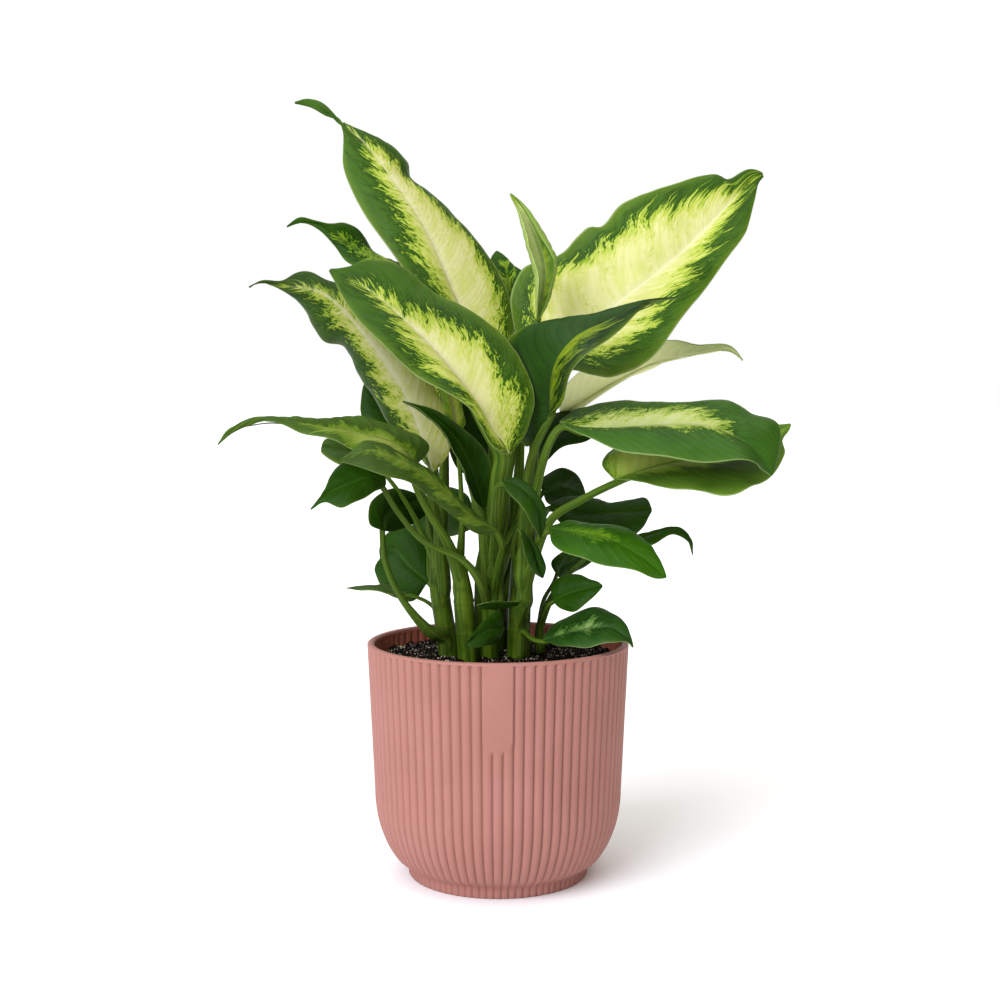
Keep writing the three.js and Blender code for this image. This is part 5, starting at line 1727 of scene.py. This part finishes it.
        right=[(-7, 22, 218), (-5, 26, 233), (-7, 28, 250)],
        stalk=(2.4, 1.6), bow=2, ripple=(0.4, 2), shade=-0.3,
    ),
    Leaf(
        "leaf_centre_dark", Tone.DARK, Size.SMALL,
        petiole=[(14, 6, 147), (15, 18, 179), (18, 22, 206)],
        midrib=[(20, 22, 218), (26, 18, 232), (39, 14, 239), (55, 8, 242)],
        left=[(21, 28, 233), (26, 28, 245), (42, 20, 249)],
        right=[(26, 12, 222), (36, 6, 230), (49, 2, 234)],
        stalk=(2.4, 1.6), bow=2, ripple=(0.4, 2), shade=-0.3,
    ),
    Leaf(
        "leaf_right_hanging_small", Tone.DARK, Size.SMALL,
        petiole=[(10, -4, 154), (8, -20, 177), (10, -28, 187)],
        midrib=[(12, -31, 189), (16, -35, 181), (19, -37, 172), (23, -37, 164)],
        left=[(18, -33, 183), (24, -36, 172)],
        right=[(12, -41, 182), (17, -41, 169)],
        stalk=(1.8, 1.2), bow=2, ripple=(0.3, 2), shade=-0.1,
    ),
    Leaf(
        "leaf_back_right_low", Tone.BANDED, Size.LARGE,
        petiole=[(3, 34, 150), (11, 54, 187), (25, 62, 223)],
        midrib=[(37, 66, 241), (66, 78, 237), (102, 92, 234), (140, 104, 231), (154, 108, 227)],
        left=[(54, 86, 248), (91, 100, 249), (135, 112, 246)],
        right=[(53, 56, 235), (83, 70, 219), (126, 88, 212)],
        stalk=(3.2, 1.9), bow=3, ripple=(1, 3),
        pale=((0.4, 0.5, 0.45, 0.4, 0.2, 0), (0.4, 0.5, 0.45, 0.4, 0.2, 0)),
    ),
    Leaf(
        "leaf_back_right_high", Tone.VARIEGATED, Size.LARGE,
        petiole=[(3, 31, 155), (11, 46, 204), (14, 62, 255)],
        midrib=[(19, 70, 284), (42, 88, 314), (73, 106, 339), (102, 120, 361)],
        left=[(17, 78, 313), (40, 100, 337), (69, 116, 352)],
        right=[(48, 78, 287), (85, 98, 309), (107, 114, 340)],
        stalk=(3.8, 2.2), bow=3, ripple=(1.4, 3),
        pale=((0.6, 0.68, 0.62, 0.5, 0.25, 0), (0.55, 0.62, 0.58, 0.5, 0.2, 0)),
    ),
    Leaf(
        "leaf_back_left", Tone.VARIEGATED, Size.LARGE,
        petiole=[(-33, 22, 162), (-38, 44, 199), (-38, 58, 226)],
        midrib=[(-39, 64, 244), (-51, 78, 270), (-63, 92, 296), (-68, 104, 315)],
        left=[(-57, 68, 249), (-69, 84, 273), (-75, 98, 300)],
        right=[(-25, 72, 258), (-34, 88, 284), (-50, 102, 309)],
        stalk=(3.5, 2.1), bow=3, ripple=(1.2, 3),
        pale=((0.55, 0.65, 0.6, 0.5, 0.2, 0), (0.55, 0.62, 0.58, 0.5, 0.2, 0)),
    ),
    Leaf(
        "leaf_back_left_low", Tone.DARK, Size.MEDIUM,
        petiole=[(-1, 32, 141), (-5, 48, 157), (-8, 60, 172)],
        midrib=[(-12, 66, 182), (-23, 80, 192), (-36, 96, 189), (-49, 108, 176), (-56, 113, 164)],
        left=[(-20, 66, 178), (-34, 84, 173), (-48, 102, 166)],
        right=[(-19, 78, 200), (-34, 98, 202), (-49, 111, 189)],
        stalk=(2.4, 1.6), bow=3, ripple=(0.8, 3),
    ),
    Leaf(
        "leaf_back_right_dark", Tone.DARK, Size.MEDIUM,
        petiole=[(2, 32, 137), (13, 50, 157), (27, 64, 189)],
        midrib=[(33, 68, 194), (48, 92, 191), (59, 114, 187), (65, 130, 180)],
        left=[(28, 84, 196), (38, 108, 192), (51, 124, 187)],
        right=[(48, 72, 185), (64, 94, 183), (70, 116, 181)],
        stalk=(2.4, 1.6), bow=3, ripple=(0.8, 3),
    ),
    Leaf(
        "leaf_back_centre", Tone.VARIEGATED, Size.MEDIUM,
        petiole=[(-1, 32, 152), (-4, 56, 198), (-5, 80, 255)],
        midrib=[(-8, 94, 291), (-17, 114, 316), (-27, 132, 334), (-33, 144, 340)],
        left=[(-23, 98, 297), (-35, 118, 322), (-38, 136, 334)],
        right=[(4, 104, 309), (-4, 124, 330), (-19, 138, 339)],
        stalk=(3.5, 2.1), bow=3, ripple=(1.2, 3),
        pale=((0.55, 0.65, 0.6, 0.5, 0.2, 0), (0.55, 0.62, 0.58, 0.5, 0.2, 0)),
    ),
]


@dataclass
class Foliage:
    """All the leaves, with one finish for each tone.

    Attributes:
        leaves: The leaves, whose order also numbers them.
    """

    leaves: list[Leaf]

    def build(self) -> None:
        """Make each leaf's piece."""
        materials = {tone: finish.material(tone) for tone, finish in LEAF_FINISHES.items()}
        for index, leaf in enumerate(self.leaves):
            leaf.build(index, materials[leaf.tone])


# ---------------------------------------------------------------------------
# Studio
# ---------------------------------------------------------------------------


@dataclass
class Studio:
    """A white floor, soft white light and the camera.

    Attributes:
        floor_size: Half the width of the floor, in metres.
        camera_place: Where the camera stands, in metres.
        camera_drop: How far it looks down, in degrees.
        lens: Its focal length on a 36 mm sensor.
        sky: The light from all round, which is white behind the plant and at the horizon.
        dim: The light from the right.
        backdrop: Cosines of the angles from straight behind between which the sky turns
            white.
        horizon: Sine of the height at which the white at the horizon ends.
        suns: The way to each soft lamp, its strength, how many degrees wide it looks, and
            its colour.
    """

    floor_size: float = 30.0
    camera_place: tuple[float, float, float] = (0.00107, -0.790, 0.256)
    camera_drop: float = 3.93
    lens: float = 53.28
    sky: Colour = (0.40, 0.38, 0.35)
    dim: Colour = (0.16, 0.13, 0.11)
    backdrop: tuple[float, float] = (0.75, 0.9)
    horizon: float = 0.16
    suns: tuple = (
        ((-0.8, -1.0, 0.75), 2.75, 44.0, (0.93, 0.99, 1.13)),
        ((0.0, -0.2, 1.4), 2.25, 90.0, (1.0, 1.0, 1.0)),
    )

    def floor(self) -> None:
        """The floor, which is the stage and no part of the plant."""
        half = self.floor_size
        corners = [(-half, -half, 0), (half, -half, 0), (half, half, 0), (-half, half, 0)]
        mesh = bpy.data.meshes.new("floor")
        mesh.from_pydata(corners, [], [(0, 1, 2, 3)])
        graph = Graph.named("floor_white")
        mesh.materials.append(graph.finished(Base_Color=(0.97, 0.97, 0.97), Roughness=0.9))
        floor = bpy.data.objects.new("floor", mesh)
        bpy.context.scene.collection.objects.link(floor)

    def light(self) -> None:
        """The white surroundings and the soft lamps, which light the whole floor alike."""
        world = bpy.data.worlds.new("white_room")
        graph = Graph(world)
        view = graph.node("ShaderNodeTexCoord", {}, {})[0]
        right, behind, up = graph.node("ShaderNodeSeparateXYZ", {}, {0: view})
        glow = graph.mix(right.ease(-0.3, 0.8), self.sky, self.dim)
        white = behind.ease(*self.backdrop).math("MAXIMUM", 1.0 - up.ease(0.0, self.horizon))
        glow = graph.mix(white, glow, (1.0, 1.0, 1.0))
        glow = graph.node("ShaderNodeBackground", {}, {"Color": glow, "Strength": 1.0})[0]
        graph.node("ShaderNodeOutputWorld", {}, {0: glow})
        bpy.context.scene.world = world
        for number, (way, strength, spread, colour) in enumerate(self.suns):
            data = bpy.data.lights.new(f"sun_{number}", "SUN")
            data.energy = strength
            data.angle = math.radians(spread)
            data.color = colour
            sun = bpy.data.objects.new(f"sun_{number}", data)
            x, y, z = way
            sun.rotation_euler = (math.atan2(math.hypot(x, y), z), 0, math.atan2(x, -y))
            bpy.context.scene.collection.objects.link(sun)

    def camera(self) -> None:
        """The camera, at the photograph's angle."""
        data = bpy.data.cameras.new("camera")
        data.lens = self.lens
        data.sensor_width = 36.0
        data.clip_end = 200.0
        camera = bpy.data.objects.new("camera", data)
        camera.location = self.camera_place
        camera.rotation_euler = (math.radians(90 - self.camera_drop), 0, 0)
        bpy.context.scene.collection.objects.link(camera)
        bpy.context.scene.camera = camera

    def build(self) -> None:
        """Set up the whole studio."""
        self.floor()
        self.light()
        self.camera()
        bpy.context.scene.view_settings.view_transform = "Standard"


def main() -> None:
    """Build the studio and the plant."""
    logging.basicConfig(level=logging.INFO, format="%(name)s %(message)s")
    Studio().build()
    pot, canes = Pot(), Canes()
    pot.build()
    canes.build()
    Soil(pot, canes.canes).build()
    Foliage(LEAVES).build()


if __name__ == "__main__":
    main()
